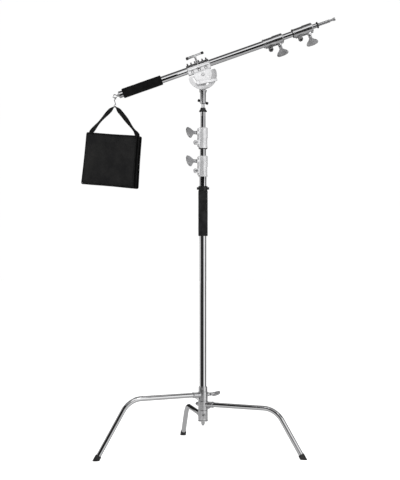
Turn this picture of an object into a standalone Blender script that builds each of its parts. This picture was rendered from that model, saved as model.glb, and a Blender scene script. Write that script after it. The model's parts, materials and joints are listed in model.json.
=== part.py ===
"""Studio stand with three nesting column tubes, a sliding leg and a telescopic boom on a tilting clamp.

A sandbag hangs from the low end of the boom. Lengths are metres, +Z is up, and the stand faces -Y.
"""

import math

import bmesh
import bpy
from mathutils import Matrix, Vector

# Whole stand
NAME = "boom_stand"
COLUMN_X = -0.02336
COLUMN_Y = -0.11078
GAP = 0.0003

# Column and its risers: outer radius and wall of each tube
COLUMN_R = 0.0175
MIDDLE_R = 0.0150
TOP_R = 0.0125
WALL = 0.0015
PLUG_TIP_Z = 0.128
PLUG_FLANGE_Z = 0.150
PLUG_FLANGE_T = 0.0045
GRIP_Z = (1.0815, 1.3100)
GRIP_R = 0.0240
RING_Z = (1.3103, 1.3330)
LOWER_COLLAR_Z = 1.3805
UPPER_COLLAR_Z = 1.5230
TOP_TUBE_END_Z = 1.7063
SPIGOT_R = 0.0079
SPIGOT_TOP_Z = 1.8030

# Clamping collars, in the collar's own frame: Z along the tube, +X towards the knob
COLLAR_LENGTH = 0.1040
COLLAR_BODY_R = 0.0216
COLLAR_SHOULDER = 0.0580
COLLAR_KNOB_Z = 0.0775
COLLAR_LUG_Z = 0.0290
COLLAR_LUG_X = 0.0400
COLUMN_KNOB_AZIMUTH = math.radians(205)
WING_TURN = math.radians(38)

# Legs
LEG_R = 0.0125
LEG_SLANT = math.radians(58.2)
LEG_BEND_R = 0.115
LEG_START = 0.0270
SOCKET_R = 0.0165
SOCKET_END = 0.0580
BRACKET_R = 0.0245
FOOT_R = 0.0155
LEGS = {
    "rear": {"azimuth": math.radians(102.5), "height": 0.179, "reach": 0.502, "ring": (0.1548, 0.2070)},
    "right": {"azimuth": math.radians(334.0), "height": 0.236, "reach": 0.542, "ring": (0.2074, 0.2525)},
    "left": {"azimuth": math.radians(207.7), "height": 0.284, "reach": 0.582, "ring": (0.2529, 0.2990)},
}
SLIDE_COLLAR_Z = (0.2994, 0.3250)

# Swivel head
SOCKET_Z = (1.7490, 1.8165)
SOCKET_BODY_R = 0.0145
SOCKET_HANDLE_Z = 1.7610
TILT_Z = 1.8930
ARM_Y = (0.0016, 0.0141)
ARM_R = 0.0165
PLATE_Y = (-0.0047, 0.0013)
PLATE_R = 0.0725
PLATE_SHIFT = -0.0030
PLATE_FLAT = 0.0100
DISC_Y = (-0.0170, -0.0050)
DISC_R = 0.0445
LEVER_R = 0.0505
LEVER_AZIMUTH = math.radians(240.5)
LEVER_ANGLE = math.radians(9.5)
LEVER_LENGTH = 0.098
SLOT_HALF = 0.0046
SLOT_SPAN = (math.radians(181.5), math.radians(281.0))

# Boom, measured along its axis from the point above the tilt axis
BOOM_ANGLE = math.radians(19.4)
BOOM_OFFSET = 0.0448
BOOM_R = 0.0175
BOOM_MIDDLE_R = 0.0150
BOOM_TIP_R = 0.0115
SADDLE_X = (-0.0680, 0.0496)
BOOM_START = -0.4254
BOOM_GRIP_X = (-0.4120, -0.2044)
BOOM_GRIP_R = 0.0250
OUTER_COLLAR_X = 0.3370
INNER_COLLAR_X = 0.4950
TIP_FLANGE_X = 0.6220
TIP_END_X = 0.7210
EYE_X = -0.4545
EYE_R = 0.0090
EYE_WIRE = 0.0028

# Sandbag
HOOK_WIRE = 0.0020
HOOK_TOP_R = 0.0075
HOOK_LOW_R = 0.0085
HOOK_DROP = 0.0501
BAG_YAW = math.radians(-22)
BAG_ROLL = math.radians(5.5)
BAG_WIDTH = (0.2740, 0.2900)
BAG_SHIFT = 0.0050
BAG_HEIGHT = 0.2660
BAG_TOP = -0.1350
POUCH_DEPTH = 0.0400
POUCH_EDGE = 0.0330
STRAP_HALF = 0.0130
STRAP_APEX_HALF = 0.0018
STRAP_T = 0.0022


def clear_scene():
    for old in list(bpy.data.objects):
        bpy.data.objects.remove(old)


clear_scene()
parts = bpy.data.collections.new(NAME)
cutters = bpy.data.collections.new("cutters")
cutters.hide_render = True
bpy.context.scene.collection.children.link(parts)
bpy.context.scene.collection.children.link(cutters)


def material(name, colour, roughness, metallic):
    made = bpy.data.materials.new(name)
    made.use_nodes = True
    shader = made.node_tree.nodes["Principled BSDF"]
    shader.inputs["Base Color"].default_value = (*colour, 1)
    shader.inputs["Roughness"].default_value = roughness
    shader.inputs["Metallic"].default_value = metallic
    made.diffuse_color = (*colour, 1)
    return made


CHROME = material("chrome_tube", (0.80, 0.80, 0.81), 0.08, 1)
CAST = material("cast_alloy", (0.62, 0.62, 0.63), 0.25, 1)
STEEL = material("zinc_steel", (0.70, 0.70, 0.70), 0.22, 1)
PLATE = material("brushed_plate", (0.66, 0.66, 0.67), 0.30, 1)
RUBBER = material("black_rubber", (0.012, 0.012, 0.012), 0.65, 0)
FOAM = material("black_foam", (0.015, 0.015, 0.015), 0.9, 0)
PLASTIC = material("black_plastic", (0.02, 0.02, 0.02), 0.4, 0)
FABRIC = material("bag_fabric", (0.018, 0.018, 0.018), 0.85, 0)
WEBBING = material("strap_webbing", (0.014, 0.014, 0.014), 0.8, 0)


def frame(name, matrix):
    """An empty that carries one body: its origin is on that body's joint axis."""
    empty = bpy.data.objects.new(name, None)
    parts.objects.link(empty)
    empty.matrix_world = matrix
    return empty


def keep(name, bm, body, look=None, smooth=35):
    """Turns a bmesh into a node of the body, or into a hidden cutter when it has no material."""
    bmesh.ops.recalc_face_normals(bm, faces=bm.faces)
    mesh = bpy.data.meshes.new(name)
    bm.to_mesh(mesh)
    bm.free()
    made = bpy.data.objects.new(name, mesh)
    made.matrix_world = body.matrix_world
    made.parent = body
    made.matrix_parent_inverse = body.matrix_world.inverted()
    if look is None:
        cutters.objects.link(made)
        made.hide_render = True
        made.display_type = "WIRE"
        return made
    parts.objects.link(made)
    mesh.materials.append(look)
    mesh.shade_smooth()
    mesh.set_sharp_from_angle(angle=math.radians(smooth))
    return made


def join(target, tool):
    step = target.modifiers.new(tool.name, "BOOLEAN")
    step.operation = "UNION"
    step.solver = "EXACT"
    step.object = tool


def cut(target, tool):
    step = target.modifiers.new(tool.name, "BOOLEAN")
    step.operation = "DIFFERENCE"
    step.solver = "EXACT"
    step.object = tool


def revolve(profile, sides=24, closed=False, turn=None):
    """Turns (radius, z) points about Z. An open profile starts and ends on the axis."""
    bm = bmesh.new()
    rows = []
    for radius, z in profile:
        if radius < 1e-7:
            rows.append([bm.verts.new((0, 0, z))])
            continue
        angles = [2 * math.pi * k / sides for k in range(sides)]
        rows.append([bm.verts.new((radius * math.cos(a), radius * math.sin(a), z)) for a in angles])
    pairs = list(zip(rows, rows[1:]))
    if closed:
        pairs.append((rows[-1], rows[0]))
    for low, high in pairs:
        for k in range(sides):
            after = (k + 1) % sides
            if len(low) == 1:
                bm.faces.new((low[0], high[k], high[after]))
            elif len(high) == 1:
                bm.faces.new((low[k], high[0], low[after]))
            else:
                bm.faces.new((low[k], high[k], high[after], low[after]))
    if turn is not None:
        bm.transform(turn)
    return bm


def tube(start, end, outer, inner, sides=24, turn=None):
    return revolve([(outer, start), (outer, end), (inner, end), (inner, start)], sides, True, turn)


def rod(start, end, radius, sides=16, turn=None, chamfer=0.0):
    if chamfer:
        profile = [
            (0, start),
            (radius - chamfer, start),
            (radius, start + chamfer),
            (radius, end - chamfer),
            (radius - chamfer, end),
            (0, end),
        ]
    else:
        profile = [(0, start), (radius, start), (radius, end), (0, end)]
    return revolve(profile, sides, False, turn)


def prism(outline, low, high, turn=None, bevel=0.0, bevel_segments=1):
    """Extrudes an (x, z) outline along Y between low and high."""
    bm = bmesh.new()
    near = [bm.verts.new((x, low, z)) for x, z in outline]
    far = [bm.verts.new((x, high, z)) for x, z in outline]
    count = len(outline)
    for k in range(count):
        bm.faces.new((near[k], near[(k + 1) % count], far[(k + 1) % count], far[k]))
    caps = [bm.faces.new(near), bm.faces.new(far)]
    if bevel:
        edges = {edge for face in caps for edge in face.edges}
        bmesh.ops.bevel(bm, geom=list(edges), offset=bevel, segments=bevel_segments, affect="EDGES",
                        profile=0.6)
    if turn is not None:
        bm.transform(turn)
    return bm


def box(low, high):
    outline = [(low[0], low[2]), (high[0], low[2]), (high[0], high[2]), (low[0], high[2])]
    return prism(outline, low[1], high[1])


def arc(centre, radius, start, end, count):
    points = []
    for k in range(count + 1):
        angle = start + (end - start) * k / count
        points.append((centre[0] + radius * math.cos(angle), centre[1] + radius * math.sin(angle)))
    return points


def sweep(path, outer, sides, inner=None):
    """A round bar, or with an inner radius a tube, along points that lie in one plane."""
    path = [Vector(point) for point in path]
    ahead = [(b - a).normalized() for a, b in zip(path, path[1:])]
    flat = next((a.cross(b) for a, b in zip(ahead, ahead[1:]) if a.cross(b).length > 1e-4), None)
    flat = flat.normalized()
    bm = bmesh.new()
    shells = []
    for radius in (outer, inner):
        if radius is None:
            continue
        rows = []
        for k, point in enumerate(path):
            before = ahead[max(k - 1, 0)]
            after = ahead[min(k, len(ahead) - 1)]
            along = (before + after).normalized()
            side = along.cross(flat).normalized()
            stretch = 1 / max(along.dot(after), 0.5)
            row = []
            for s in range(sides):
                angle = 2 * math.pi * (s + 0.5) / sides
                offset = flat * (radius * math.sin(angle)) + side * (radius * math.cos(angle) * stretch)
                row.append(bm.verts.new(point + offset))
            rows.append(row)
        for low, high in zip(rows, rows[1:]):
            for s in range(sides):
                bm.faces.new((low[s], low[(s + 1) % sides], high[(s + 1) % sides], high[s]))
        shells.append(rows)
    for end in (0, -1):
        if inner is None:
            bm.faces.new(shells[0][end])
            continue
        for s in range(sides):
            after = (s + 1) % sides
            outside, inside = shells[0][end], shells[1][end]
            bm.faces.new((outside[s], outside[after], inside[after], inside[s]))
    return bm


ALONG_X = Matrix.Rotation(math.radians(90), 4, "Y")
ALONG_Y = Matrix.Rotation(math.radians(-90), 4, "X")


def shift(x=0.0, y=0.0, z=0.0):
    return Matrix.Translation((x, y, z))


# Frames of the moving bodies
base = frame("base", shift(COLUMN_X, COLUMN_Y))
slide = frame("slide", base.matrix_world @ shift(z=SLIDE_COLLAR_Z[0]))
leg_frames = {}
for side_name, leg in LEGS.items():
    turned = Matrix.Rotation(leg["azimuth"], 4, "Z")
    leg_frames[side_name] = frame(side_name + "_leg", base.matrix_world @ shift(z=leg["height"]) @ turned)
riser_1 = frame("riser_1", base.matrix_world @ shift(z=UPPER_COLLAR_Z))
riser_2 = frame("riser_2", base.matrix_world @ shift(z=TOP_TUBE_END_Z))
swivel = frame("swivel", base.matrix_world @ shift(z=TILT_Z))
tilt = frame("tilt", swivel.matrix_world @ Matrix.Rotation(-BOOM_ANGLE, 4, "Y"))
boom = frame("boom", tilt.matrix_world @ shift(z=BOOM_OFFSET))
boom_2 = frame("boom_2", boom.matrix_world @ shift(x=INNER_COLLAR_X))
boom_3 = frame("boom_3", boom.matrix_world @ shift(x=TIP_FLANGE_X))


def wing_knob(name, body, start):
    """A cast T knob on a stud. The stud lies on the body's X axis."""
    stud = rod(start, 0.0420, 0.0039, 10, ALONG_X)
    made = keep(name, stud, body, CAST)
    hub = [(0, 0.0385), (0.0070, 0.0385), (0.0090, 0.0405), (0.0080, 0.0560), (0, 0.0620)]
    join(made, keep(name + "_hub", revolve(hub, 12, False, ALONG_X), body))
    half = [(0.0480, 0.0068), (0.0600, 0.0100), (0.0685, 0.0230), (0.0715, 0.0310), (0.0760, 0.0335),
            (0.0820, 0.0320), (0.0865, 0.0240), (0.0880, 0.0100)]
    outline = half + [(x, -z) for x, z in reversed(half)]
    join(made, keep(name + "_bar", prism(outline, -0.0068, 0.0068, None, 0.0028, 1), body))
    return made


def collar(name, place, body, outer_tube, inner_tube):
    """A split casting on the end of one tube that grips the tube sliding inside it."""
    wide = outer_tube + GAP
    narrow = inner_tube + GAP
    radius = COLLAR_BODY_R
    profile = [
        (radius + 0.0014, 0.0000), (radius + 0.0014, 0.0060), (radius, 0.0070), (radius, 0.0490),
        (radius + 0.0022, 0.0530), (radius + 0.0022, COLLAR_LENGTH - 0.0040),
        (radius - 0.0008, COLLAR_LENGTH), (narrow, COLLAR_LENGTH), (narrow, COLLAR_SHOULDER),
        (wide, COLLAR_SHOULDER), (wide, 0.0000),
    ]
    own = frame(name + "_place", place)
    made = keep(name, revolve(profile, 20, True), own, CAST)
    spine = box((wide + 0.001, -0.0085, 0.0070), (0.0275, 0.0085, COLLAR_LENGTH - 0.0040))
    join(made, keep(name + "_spine", spine, own))
    low, high = COLLAR_LUG_Z - 0.0110, COLLAR_LUG_Z + 0.0110
    lug = [(radius - 0.0015, low), (0.0430, low), (0.0490, low + 0.006), (0.0490, high - 0.006),
           (0.0430, high), (radius - 0.0015, high)]
    join(made, keep(name + "_lug", prism(lug, -0.0100, 0.0100), own))
    at_knob = shift(z=COLLAR_KNOB_Z)
    join(made, keep(name + "_boss", rod(narrow + 0.004, 0.0365, 0.0100, 14, at_knob @ ALONG_X), own))
    slit = box((wide - 0.004, -0.0013, -0.002), (0.052, 0.0013, 0.0500))
    cut(made, keep(name + "_slit", slit, own))
    bolt_hole = rod(-0.02, 0.02, 0.0033, 10, shift(COLLAR_LUG_X, 0, COLLAR_LUG_Z) @ ALONG_Y)
    cut(made, keep(name + "_bolt_hole", bolt_hole, own))
    knob_hole = rod(narrow - 0.003, 0.0400, 0.0043, 10, at_knob @ ALONG_X)
    cut(made, keep(name + "_knob_hole", knob_hole, own))
    bolt = [(0, -0.0160), (0.0056, -0.0155), (0.0056, -0.0104), (0.0030, -0.0104),
            (0.0030, 0.0104), (0.0058, 0.0104), (0.0058, 0.0150), (0, 0.0150)]
    at_lug = shift(COLLAR_LUG_X, 0, COLLAR_LUG_Z)
    keep(name + "_bolt", revolve(bolt, 10, False, at_lug @ ALONG_Y), own, STEEL)
    turned = place @ at_knob @ Matrix.Rotation(WING_TURN, 4, "X")
    wing_knob(name + "_knob", frame(name + "_knob_axis", turned), narrow + 0.0002)
    own.parent = body
    own.matrix_parent_inverse = body.matrix_world.inverted()
    return made


# Column
column_bottom = PLUG_FLANGE_Z + PLUG_FLANGE_T + GAP
column_top = LOWER_COLLAR_Z + COLLAR_SHOULDER - GAP
keep("column_tube", tube(column_bottom, column_top, COLUMN_R, COLUMN_R - WALL), base, CHROME)
plug = [
    (0, PLUG_TIP_Z), (0.0050, PLUG_TIP_Z), (0.0085, PLUG_TIP_Z + 0.006), (0.0105, PLUG_FLANGE_Z),
    (0.0250, PLUG_FLANGE_Z), (0.0250, PLUG_FLANGE_Z + PLUG_FLANGE_T),
    (COLUMN_R - WALL - GAP, PLUG_FLANGE_Z + PLUG_FLANGE_T), (COLUMN_R - WALL - GAP, 0.1780), (0, 0.1780),
]
keep("column_plug", revolve(plug, 24), base, CAST)
grip_bore = COLUMN_R + GAP
grip = [
    (grip_bore, GRIP_Z[0]), (GRIP_R - 0.003, GRIP_Z[0]), (GRIP_R, GRIP_Z[0] + 0.003),
    (GRIP_R, GRIP_Z[1] - 0.003), (GRIP_R - 0.003, GRIP_Z[1]), (grip_bore, GRIP_Z[1]),
]
keep("column_grip", revolve(grip, 24, True), base, FOAM)
stop_ring = keep("column_stop_ring", tube(RING_Z[0], RING_Z[1], 0.0228, 0.0185), base, PLASTIC)
ears = box((-0.0310, -0.0065, RING_Z[0] + 0.005), (0.0310, 0.0065, RING_Z[0] + 0.017))
join(stop_ring, keep("stop_ring_ears", ears, base))
cut(stop_ring, keep("stop_ring_bore", rod(RING_Z[0] - 0.01, RING_Z[1] + 0.01, grip_bore, 24), base))


def bracket(side_name, body, leg):
    """The casting that joins one leg to the column: a ring, a socket for the leg and a boss behind."""
    low = leg["ring"][0] - leg["height"]
    high = leg["ring"][1] - leg["height"]
    bore = COLUMN_R + GAP
    name = side_name + "_bracket"
    ring = [(bore - 0.002, low), (BRACKET_R - 0.0015, low), (BRACKET_R, low + 0.0015),
            (BRACKET_R, high - 0.0015), (BRACKET_R - 0.0015, high), (bore - 0.002, high)]
    made = keep(name, revolve(ring, 20, True), body, CAST)
    socket = [(0, 0.0190), (SOCKET_R, 0.0190), (SOCKET_R, SOCKET_END - 0.010),
              (SOCKET_R + 0.0012, SOCKET_END - 0.009), (SOCKET_R + 0.0012, SOCKET_END - 0.001),
              (SOCKET_R, SOCKET_END), (0, SOCKET_END)]
    fit = min(1.0, (high - 0.0002) / (SOCKET_R + 0.0012))
    squeeze = Matrix.Diagonal((1, 1, fit, 1))
    join(made, keep(name + "_socket", revolve(socket, 16, False, squeeze @ ALONG_X), body))
    web = [(0.0200, low + 0.003), (0.0280, low + 0.003), (0.0520, -0.0100), (0.0200, -0.0100)]
    join(made, keep(name + "_web", prism(web, -0.0040, 0.0040), body))
    boss = rod(0.0190, 0.0335, 0.0105, 14, ALONG_X.inverted())
    join(made, keep(name + "_boss", boss, body))
    cut(made, keep(name + "_bore", rod(low - 0.02, high + 0.02, bore, 20), body))
    leg_bore = revolve([(0, 0.0265), (LEG_R + GAP, 0.0265), (LEG_R + GAP, 0.0900), (0, 0.0900)], 16, False,
                       ALONG_X @ Matrix.Rotation(math.pi / 16, 4, "Z"))
    cut(made, keep(name + "_leg_bore", leg_bore, body))
    stud_hole = rod(0.0120, 0.0400, 0.0043, 10, ALONG_X.inverted())
    cut(made, keep(name + "_stud_hole", stud_hole, body))
    return made


for side_name, leg in LEGS.items():
    body = leg_frames[side_name]
    bracket(side_name, body, leg)
    height = leg["height"]
    corner = leg["reach"] - height / math.tan(LEG_SLANT)
    tangent = LEG_BEND_R * math.tan(LEG_SLANT / 2)
    path = [(LEG_START, 0, 0)]
    for k in range(8):
        turn = LEG_SLANT * k / 7
        path.append((corner - tangent + LEG_BEND_R * math.sin(turn), 0, -LEG_BEND_R * (1 - math.cos(turn))))
    down = Vector((math.cos(LEG_SLANT), 0, -math.sin(LEG_SLANT)))
    floor_point = Vector((leg["reach"], 0, -height))
    path.append(floor_point - down * 0.0120)
    keep(side_name + "_leg_tube", sweep(path, LEG_R, 14, LEG_R - WALL), body, CHROME)
    boot = [
        (0, 0.0220), (FOOT_R, 0.0220), (FOOT_R, -0.0250), (FOOT_R - 0.0010, -0.0270),
        (LEG_R + GAP, -0.0270), (LEG_R + GAP, -0.0117), (0, -0.0117),
    ]
    lie = Matrix.Rotation(math.pi / 2 + LEG_SLANT, 4, "Y")
    place = Matrix.Translation(floor_point) @ lie @ Matrix.Rotation(math.pi / 16, 4, "Z")
    foot = keep(side_name + "_foot", revolve(boot, 16, False, place), body, RUBBER)
    floor_box = box((leg["reach"] - 0.08, -0.05, -height - 0.08), (leg["reach"] + 0.08, 0.05, -height))
    cut(foot, keep(side_name + "_foot_floor", floor_box, body))
    if side_name == "left":
        continue
    bolt = [(0, 0.0182), (0.0040, 0.0182), (0.0040, 0.0340), (0.0072, 0.0340), (0.0072, 0.0385),
            (0.0058, 0.0402), (0, 0.0402)]
    keep(side_name + "_bracket_bolt", revolve(bolt, 10, False, ALONG_X.inverted()), body, STEEL)

lock_turn = Matrix.Rotation(math.pi, 4, "Z") @ Matrix.Rotation(math.radians(70), 4, "X")
lock_axis = frame("slide_knob_axis", leg_frames["left"].matrix_world @ lock_turn)
wing_knob("slide_knob", lock_axis, COLUMN_R + 0.0006)
neck_height = SLIDE_COLLAR_Z[1] - SLIDE_COLLAR_Z[0]
neck = [
    (grip_bore, 0), (0.0225, 0), (0.0225, neck_height - 0.0015), (0.0210, neck_height),
    (grip_bore, neck_height),
]
slide_collar = keep("slide_collar", revolve(neck, 24, True), slide, CAST)
screw_place = Matrix.Rotation(math.radians(262), 4, "Z") @ shift(z=0.0165)
cut(slide_collar, keep("slide_screw_hole", rod(0.015, 0.03, 0.0030, 10, screw_place @ ALONG_X), slide))
screw = [(0, 0.0181), (0.0027, 0.0181), (0.0027, 0.0229), (0.0048, 0.0229), (0.0046, 0.0245),
         (0.0030, 0.0258), (0, 0.0262)]
keep("slide_collar_screw", revolve(screw, 10, False, screw_place @ ALONG_X), slide, STEEL)

# Risers
knob_side = Matrix.Rotation(COLUMN_KNOB_AZIMUTH, 4, "Z")
collar("lower_collar", base.matrix_world @ shift(z=LOWER_COLLAR_Z) @ knob_side, base, COLUMN_R, MIDDLE_R)
collar("upper_collar", base.matrix_world @ shift(z=UPPER_COLLAR_Z) @ knob_side, riser_1, MIDDLE_R, TOP_R)
middle_top = COLLAR_SHOULDER - GAP
keep("middle_riser_tube", tube(-1.0730, middle_top, MIDDLE_R, MIDDLE_R - WALL), riser_1, CHROME)
keep("top_riser_tube", tube(-1.0860, 0, TOP_R, TOP_R - WALL), riser_2, CHROME)
cap = [
    (0.0082, GAP), (0.0195, GAP), (0.0200, 0.0020), (0.0185, 0.0065), (0.0140, 0.0120), (0.0125, 0.0205),
    (0.0082, 0.0205),
]
keep("riser_cap", revolve(cap, 24, True), riser_2, PLASTIC)
reach = SPIGOT_TOP_Z - TOP_TUBE_END_Z
spigot = [
    (0, -0.0600), (0.0107, -0.0600), (0.0107, -0.0002), (SPIGOT_R, -0.0002), (SPIGOT_R, 0.0440),
    (0.0060, 0.0470), (0.0060, 0.0540), (SPIGOT_R, 0.0570), (SPIGOT_R, reach - 0.002),
    (SPIGOT_R - 0.0015, reach), (0, reach),
]
keep("spigot", revolve(spigot, 16), riser_2, STEEL)

# Swivel head: socket with the arm that rises behind the tilt plate
low, high = SOCKET_Z[0] - TILT_Z, SOCKET_Z[1] - TILT_Z
bore_top = SPIGOT_TOP_Z - TILT_Z + 0.0012
socket = [
    (0, bore_top), (0.0083, bore_top), (0.0083, low), (SOCKET_BODY_R - 0.001, low),
    (SOCKET_BODY_R, low + 0.001), (SOCKET_BODY_R, high - 0.016), (0.0185, high - 0.006), (0.0185, high), (0, high),
]
head = keep("swivel_socket", revolve(socket, 24), swivel, CAST)
lever_x = LEVER_R * math.cos(LEVER_AZIMUTH)
lever_z = LEVER_R * math.sin(LEVER_AZIMUTH)
arm = [(-0.0120, high - 0.010), (0.0120, high - 0.010), (0.0165, -0.040)]
arm += arc((0, 0), ARM_R, 0, math.pi, 10)
arm += [(-ARM_R, -0.0200)]
arm += arc((lever_x, lever_z), 0.0110, math.radians(120), math.radians(260), 6)
join(head, keep("swivel_arm", prism(arm, ARM_Y[0], ARM_Y[1]), swivel))
cut(head, keep("pivot_hole", rod(-0.02, 0.03, 0.0053, 16, ALONG_Y), swivel))
lever_place = shift(lever_x, 0, lever_z)
cut(head, keep("lever_hole", rod(-0.02, 0.03, 0.0043, 10, lever_place @ ALONG_Y), swivel))
handle_z = SOCKET_HANDLE_Z - TILT_Z
handle_hole = rod(0.004, 0.020, 0.0043, 10, shift(z=handle_z) @ ALONG_Y)
cut(head, keep("socket_handle_hole", handle_hole, swivel))

handle_turn = Matrix.Rotation(math.radians(90), 4, "Z") @ Matrix.Rotation(math.radians(-71), 4, "X")
handle_axis = frame("socket_handle_axis", swivel.matrix_world @ shift(z=handle_z) @ handle_turn)
stem = [(0, 0.0084), (0.0040, 0.0084), (0.0040, 0.0250), (0.0060, 0.0270), (0.0060, 0.0400), (0, 0.0400)]
socket_handle = keep("socket_handle", revolve(stem, 12, False, ALONG_X), handle_axis, STEEL)
bar = rod(-0.0250, 0.0250, 0.0055, 12, shift(x=0.0400), 0.0012)
join(socket_handle, keep("socket_handle_bar", bar, handle_axis))

pivot = [
    (0, -0.0235), (0.0050, -0.0235), (0.0075, -0.0215), (0.0075, -0.0173), (0.0050, -0.0173),
    (0.0050, 0.0144), (0.0095, 0.0144), (0.0095, 0.0200), (0.0085, 0.0210), (0, 0.0210),
]
keep("pivot_bolt", revolve(pivot, 16, False, ALONG_Y), swivel, STEEL)

lever_axis = frame("lever_axis", swivel.matrix_world @ lever_place)
stud = [(0, -0.0360), (0.0080, -0.0360), (0.0095, -0.0345), (0.0095, -0.0195), (0.0080, -0.0180),
        (0.0040, -0.0180), (0.0040, 0.0120), (0, 0.0120)]
lever = keep("tilt_lever", revolve(stud, 16, False, ALONG_Y), lever_axis, CAST)
blade = [(0.000, -0.0086), (0.030, -0.0070), (LEVER_LENGTH - 0.012, -0.0058),
         (LEVER_LENGTH - 0.002, -0.0058),
         (LEVER_LENGTH, -0.0030), (LEVER_LENGTH, 0.0030), (LEVER_LENGTH - 0.002, 0.0058),
         (LEVER_LENGTH - 0.012, 0.0058), (0.030, 0.0070), (0.000, 0.0086)]
blade_mesh = prism(blade, -0.0330, -0.0240, Matrix.Rotation(-LEVER_ANGLE, 4, "Y"), 0.0015, 1)
join(lever, keep("lever_blade", blade_mesh, lever_axis))

# Tilting clamp: plate, saddle and hinged cap
corner = 0.0090
corner_z = PLATE_FLAT - corner
plate = arc((PLATE_SHIFT, 0), PLATE_R, math.pi, 2 * math.pi, 24)
plate += arc((PLATE_SHIFT + PLATE_R - corner, corner_z), corner, 0, math.pi / 2, 3)
plate += arc((PLATE_SHIFT - PLATE_R + corner, corner_z), corner, math.pi / 2, math.pi, 3)
tilt_plate = keep("tilt_plate", prism(plate, PLATE_Y[0], PLATE_Y[1]), tilt, PLATE)
slot = arc((0, 0), LEVER_R + SLOT_HALF, SLOT_SPAN[0], SLOT_SPAN[1], 14)
slot_end = (LEVER_R * math.cos(SLOT_SPAN[1]), LEVER_R * math.sin(SLOT_SPAN[1]))
slot += arc(slot_end, SLOT_HALF, SLOT_SPAN[1], SLOT_SPAN[1] + math.pi, 5)[1:-1]
slot += arc((0, 0), LEVER_R - SLOT_HALF, SLOT_SPAN[1], SLOT_SPAN[0], 14)
slot_start = (LEVER_R * math.cos(SLOT_SPAN[0]), LEVER_R * math.sin(SLOT_SPAN[0]))
slot += arc(slot_start, SLOT_HALF, SLOT_SPAN[0] - math.pi, SLOT_SPAN[0], 5)[1:-1]
cut(tilt_plate, keep("plate_slot", prism(slot, -0.02, 0.02), tilt))
cut(tilt_plate, keep("plate_hole", rod(-0.02, 0.02, 0.0053, 16, ALONG_Y), tilt))


def across(outline, low, high, bevel=0.0):
    """Extrudes a (y, z) outline along X between low and high."""
    turn = Matrix(((0, 1, 0, 0), (1, 0, 0, 0), (0, 0, 1, 0), (0, 0, 0, 1)))
    return prism(outline, low, high, turn, bevel)


saddle_low, saddle_high = SADDLE_X
split = BOOM_OFFSET
seat = [(-0.0235, split - 0.0210), (-0.0190, split - 0.0265), (0.0190, split - 0.0265),
        (0.0235, split - 0.0210), (0.0235, split - GAP),
        (-0.0235, split - GAP)]
saddle = keep("boom_saddle", across(seat, saddle_low, saddle_high, 0.001), tilt, CAST)
disc = rod(DISC_Y[0], DISC_Y[1], DISC_R, 32, ALONG_Y)
join(saddle, keep("saddle_disc", disc, tilt))
flange_outline = [(-0.0400, split - 0.0063), (-0.0200, split - 0.0063), (-0.0200, split - GAP),
                  (-0.0400, split - GAP)]
join(saddle, keep("saddle_flange", across(flange_outline, saddle_low + 0.003, saddle_high - 0.003), tilt))
hinge_y = 0.0330
ear_spans = ((saddle_low, saddle_low + 0.0250), (saddle_high - 0.0250, saddle_high))
for k, span in enumerate(ear_spans):
    ear = arc((hinge_y, split), 0.0065, math.radians(-140), math.radians(150), 8)
    ear += [(0.0270, split - GAP), (0.0200, split - GAP), (0.0200, split - 0.0063)]
    join(saddle, keep(f"saddle_ear_{k}", across(ear, span[0], span[1]), tilt))
bore = rod(saddle_low - 0.02, saddle_high + 0.02, BOOM_R + GAP, 24, shift(z=split) @ ALONG_X)
cut(saddle, keep("saddle_bore", bore, tilt))
BOLT_XS = (-0.0450, -0.0100, 0.0250)
BOLT_Z = split - 0.0145
for k, x in enumerate(BOLT_XS):
    pocket = [(0, -0.0300), (0.0080, -0.0300), (0.0080, -0.0205), (0.0033, -0.0205), (0.0033, -0.0150),
              (0, -0.0150)]
    pocket_mesh = revolve(pocket, 12, False, shift(x, 0, BOLT_Z - 0.003) @ ALONG_Y)
    cut(saddle, keep(f"saddle_pocket_{k}", pocket_mesh, tilt))
    bolt = [(0, -0.0255), (0.0048, -0.0255), (0.0055, -0.0245), (0.0055, -0.0208), (0.0030, -0.0208),
            (0.0030, -0.0155), (0, -0.0155)]
    bolt_mesh = revolve(bolt, 12, False, shift(x, 0, BOLT_Z - 0.003) @ ALONG_Y)
    keep(f"saddle_bolt_{k + 1}", bolt_mesh, tilt, STEEL)
cut(saddle, keep("saddle_pivot_hole", rod(-0.03, 0.01, 0.0053, 16, ALONG_Y), tilt))
pin_place = shift(0, hinge_y, split) @ ALONG_X
screw_x, screw_y = -0.0092, -0.0325
pin_hole = rod(saddle_low - 0.02, saddle_high + 0.02, 0.0033, 10, pin_place)
screw_hole = rod(split - 0.02, split + 0.02, 0.0053, 12, shift(screw_x, screw_y))
pin_cutter = keep("hinge_pin_hole", pin_hole, tilt)
screw_cutter = keep("cap_screw_hole", screw_hole, tilt)
cut(saddle, pin_cutter)
cut(saddle, screw_cutter)

shell = arc((0, split), 0.0245, math.radians(0.8), math.radians(179.2), 14)
cap_obj = keep("saddle_cap", across(shell, saddle_low, saddle_high, 0.001), tilt, CAST)
RIBS = 6
for k in range(RIBS):
    middle = saddle_low + 0.0100 + (saddle_high - saddle_low - 0.0200) * k / (RIBS - 1)
    rib = arc((0, split), 0.0350, math.radians(22), math.radians(158), 8)
    rib += [(-0.0200, split + 0.004), (0.0200, split + 0.004)]
    join(cap_obj, keep(f"cap_rib_{k}", across(rib, middle - 0.0035, middle + 0.0035), tilt))
cap_flange = [(-0.0400, split + GAP), (-0.0190, split + GAP), (-0.0190, split + 0.0063),
              (-0.0400, split + 0.0063)]
join(cap_obj, keep("cap_flange", across(cap_flange, saddle_low + 0.003, saddle_high - 0.003), tilt))
knuckle = arc((hinge_y, split), 0.0065, math.radians(-150), math.radians(140), 8)
knuckle += [(0.0200, split + 0.0063), (0.0200, split + GAP), (0.0270, split + GAP)]
span = (ear_spans[0][1] + GAP, ear_spans[1][0] - GAP)
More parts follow.
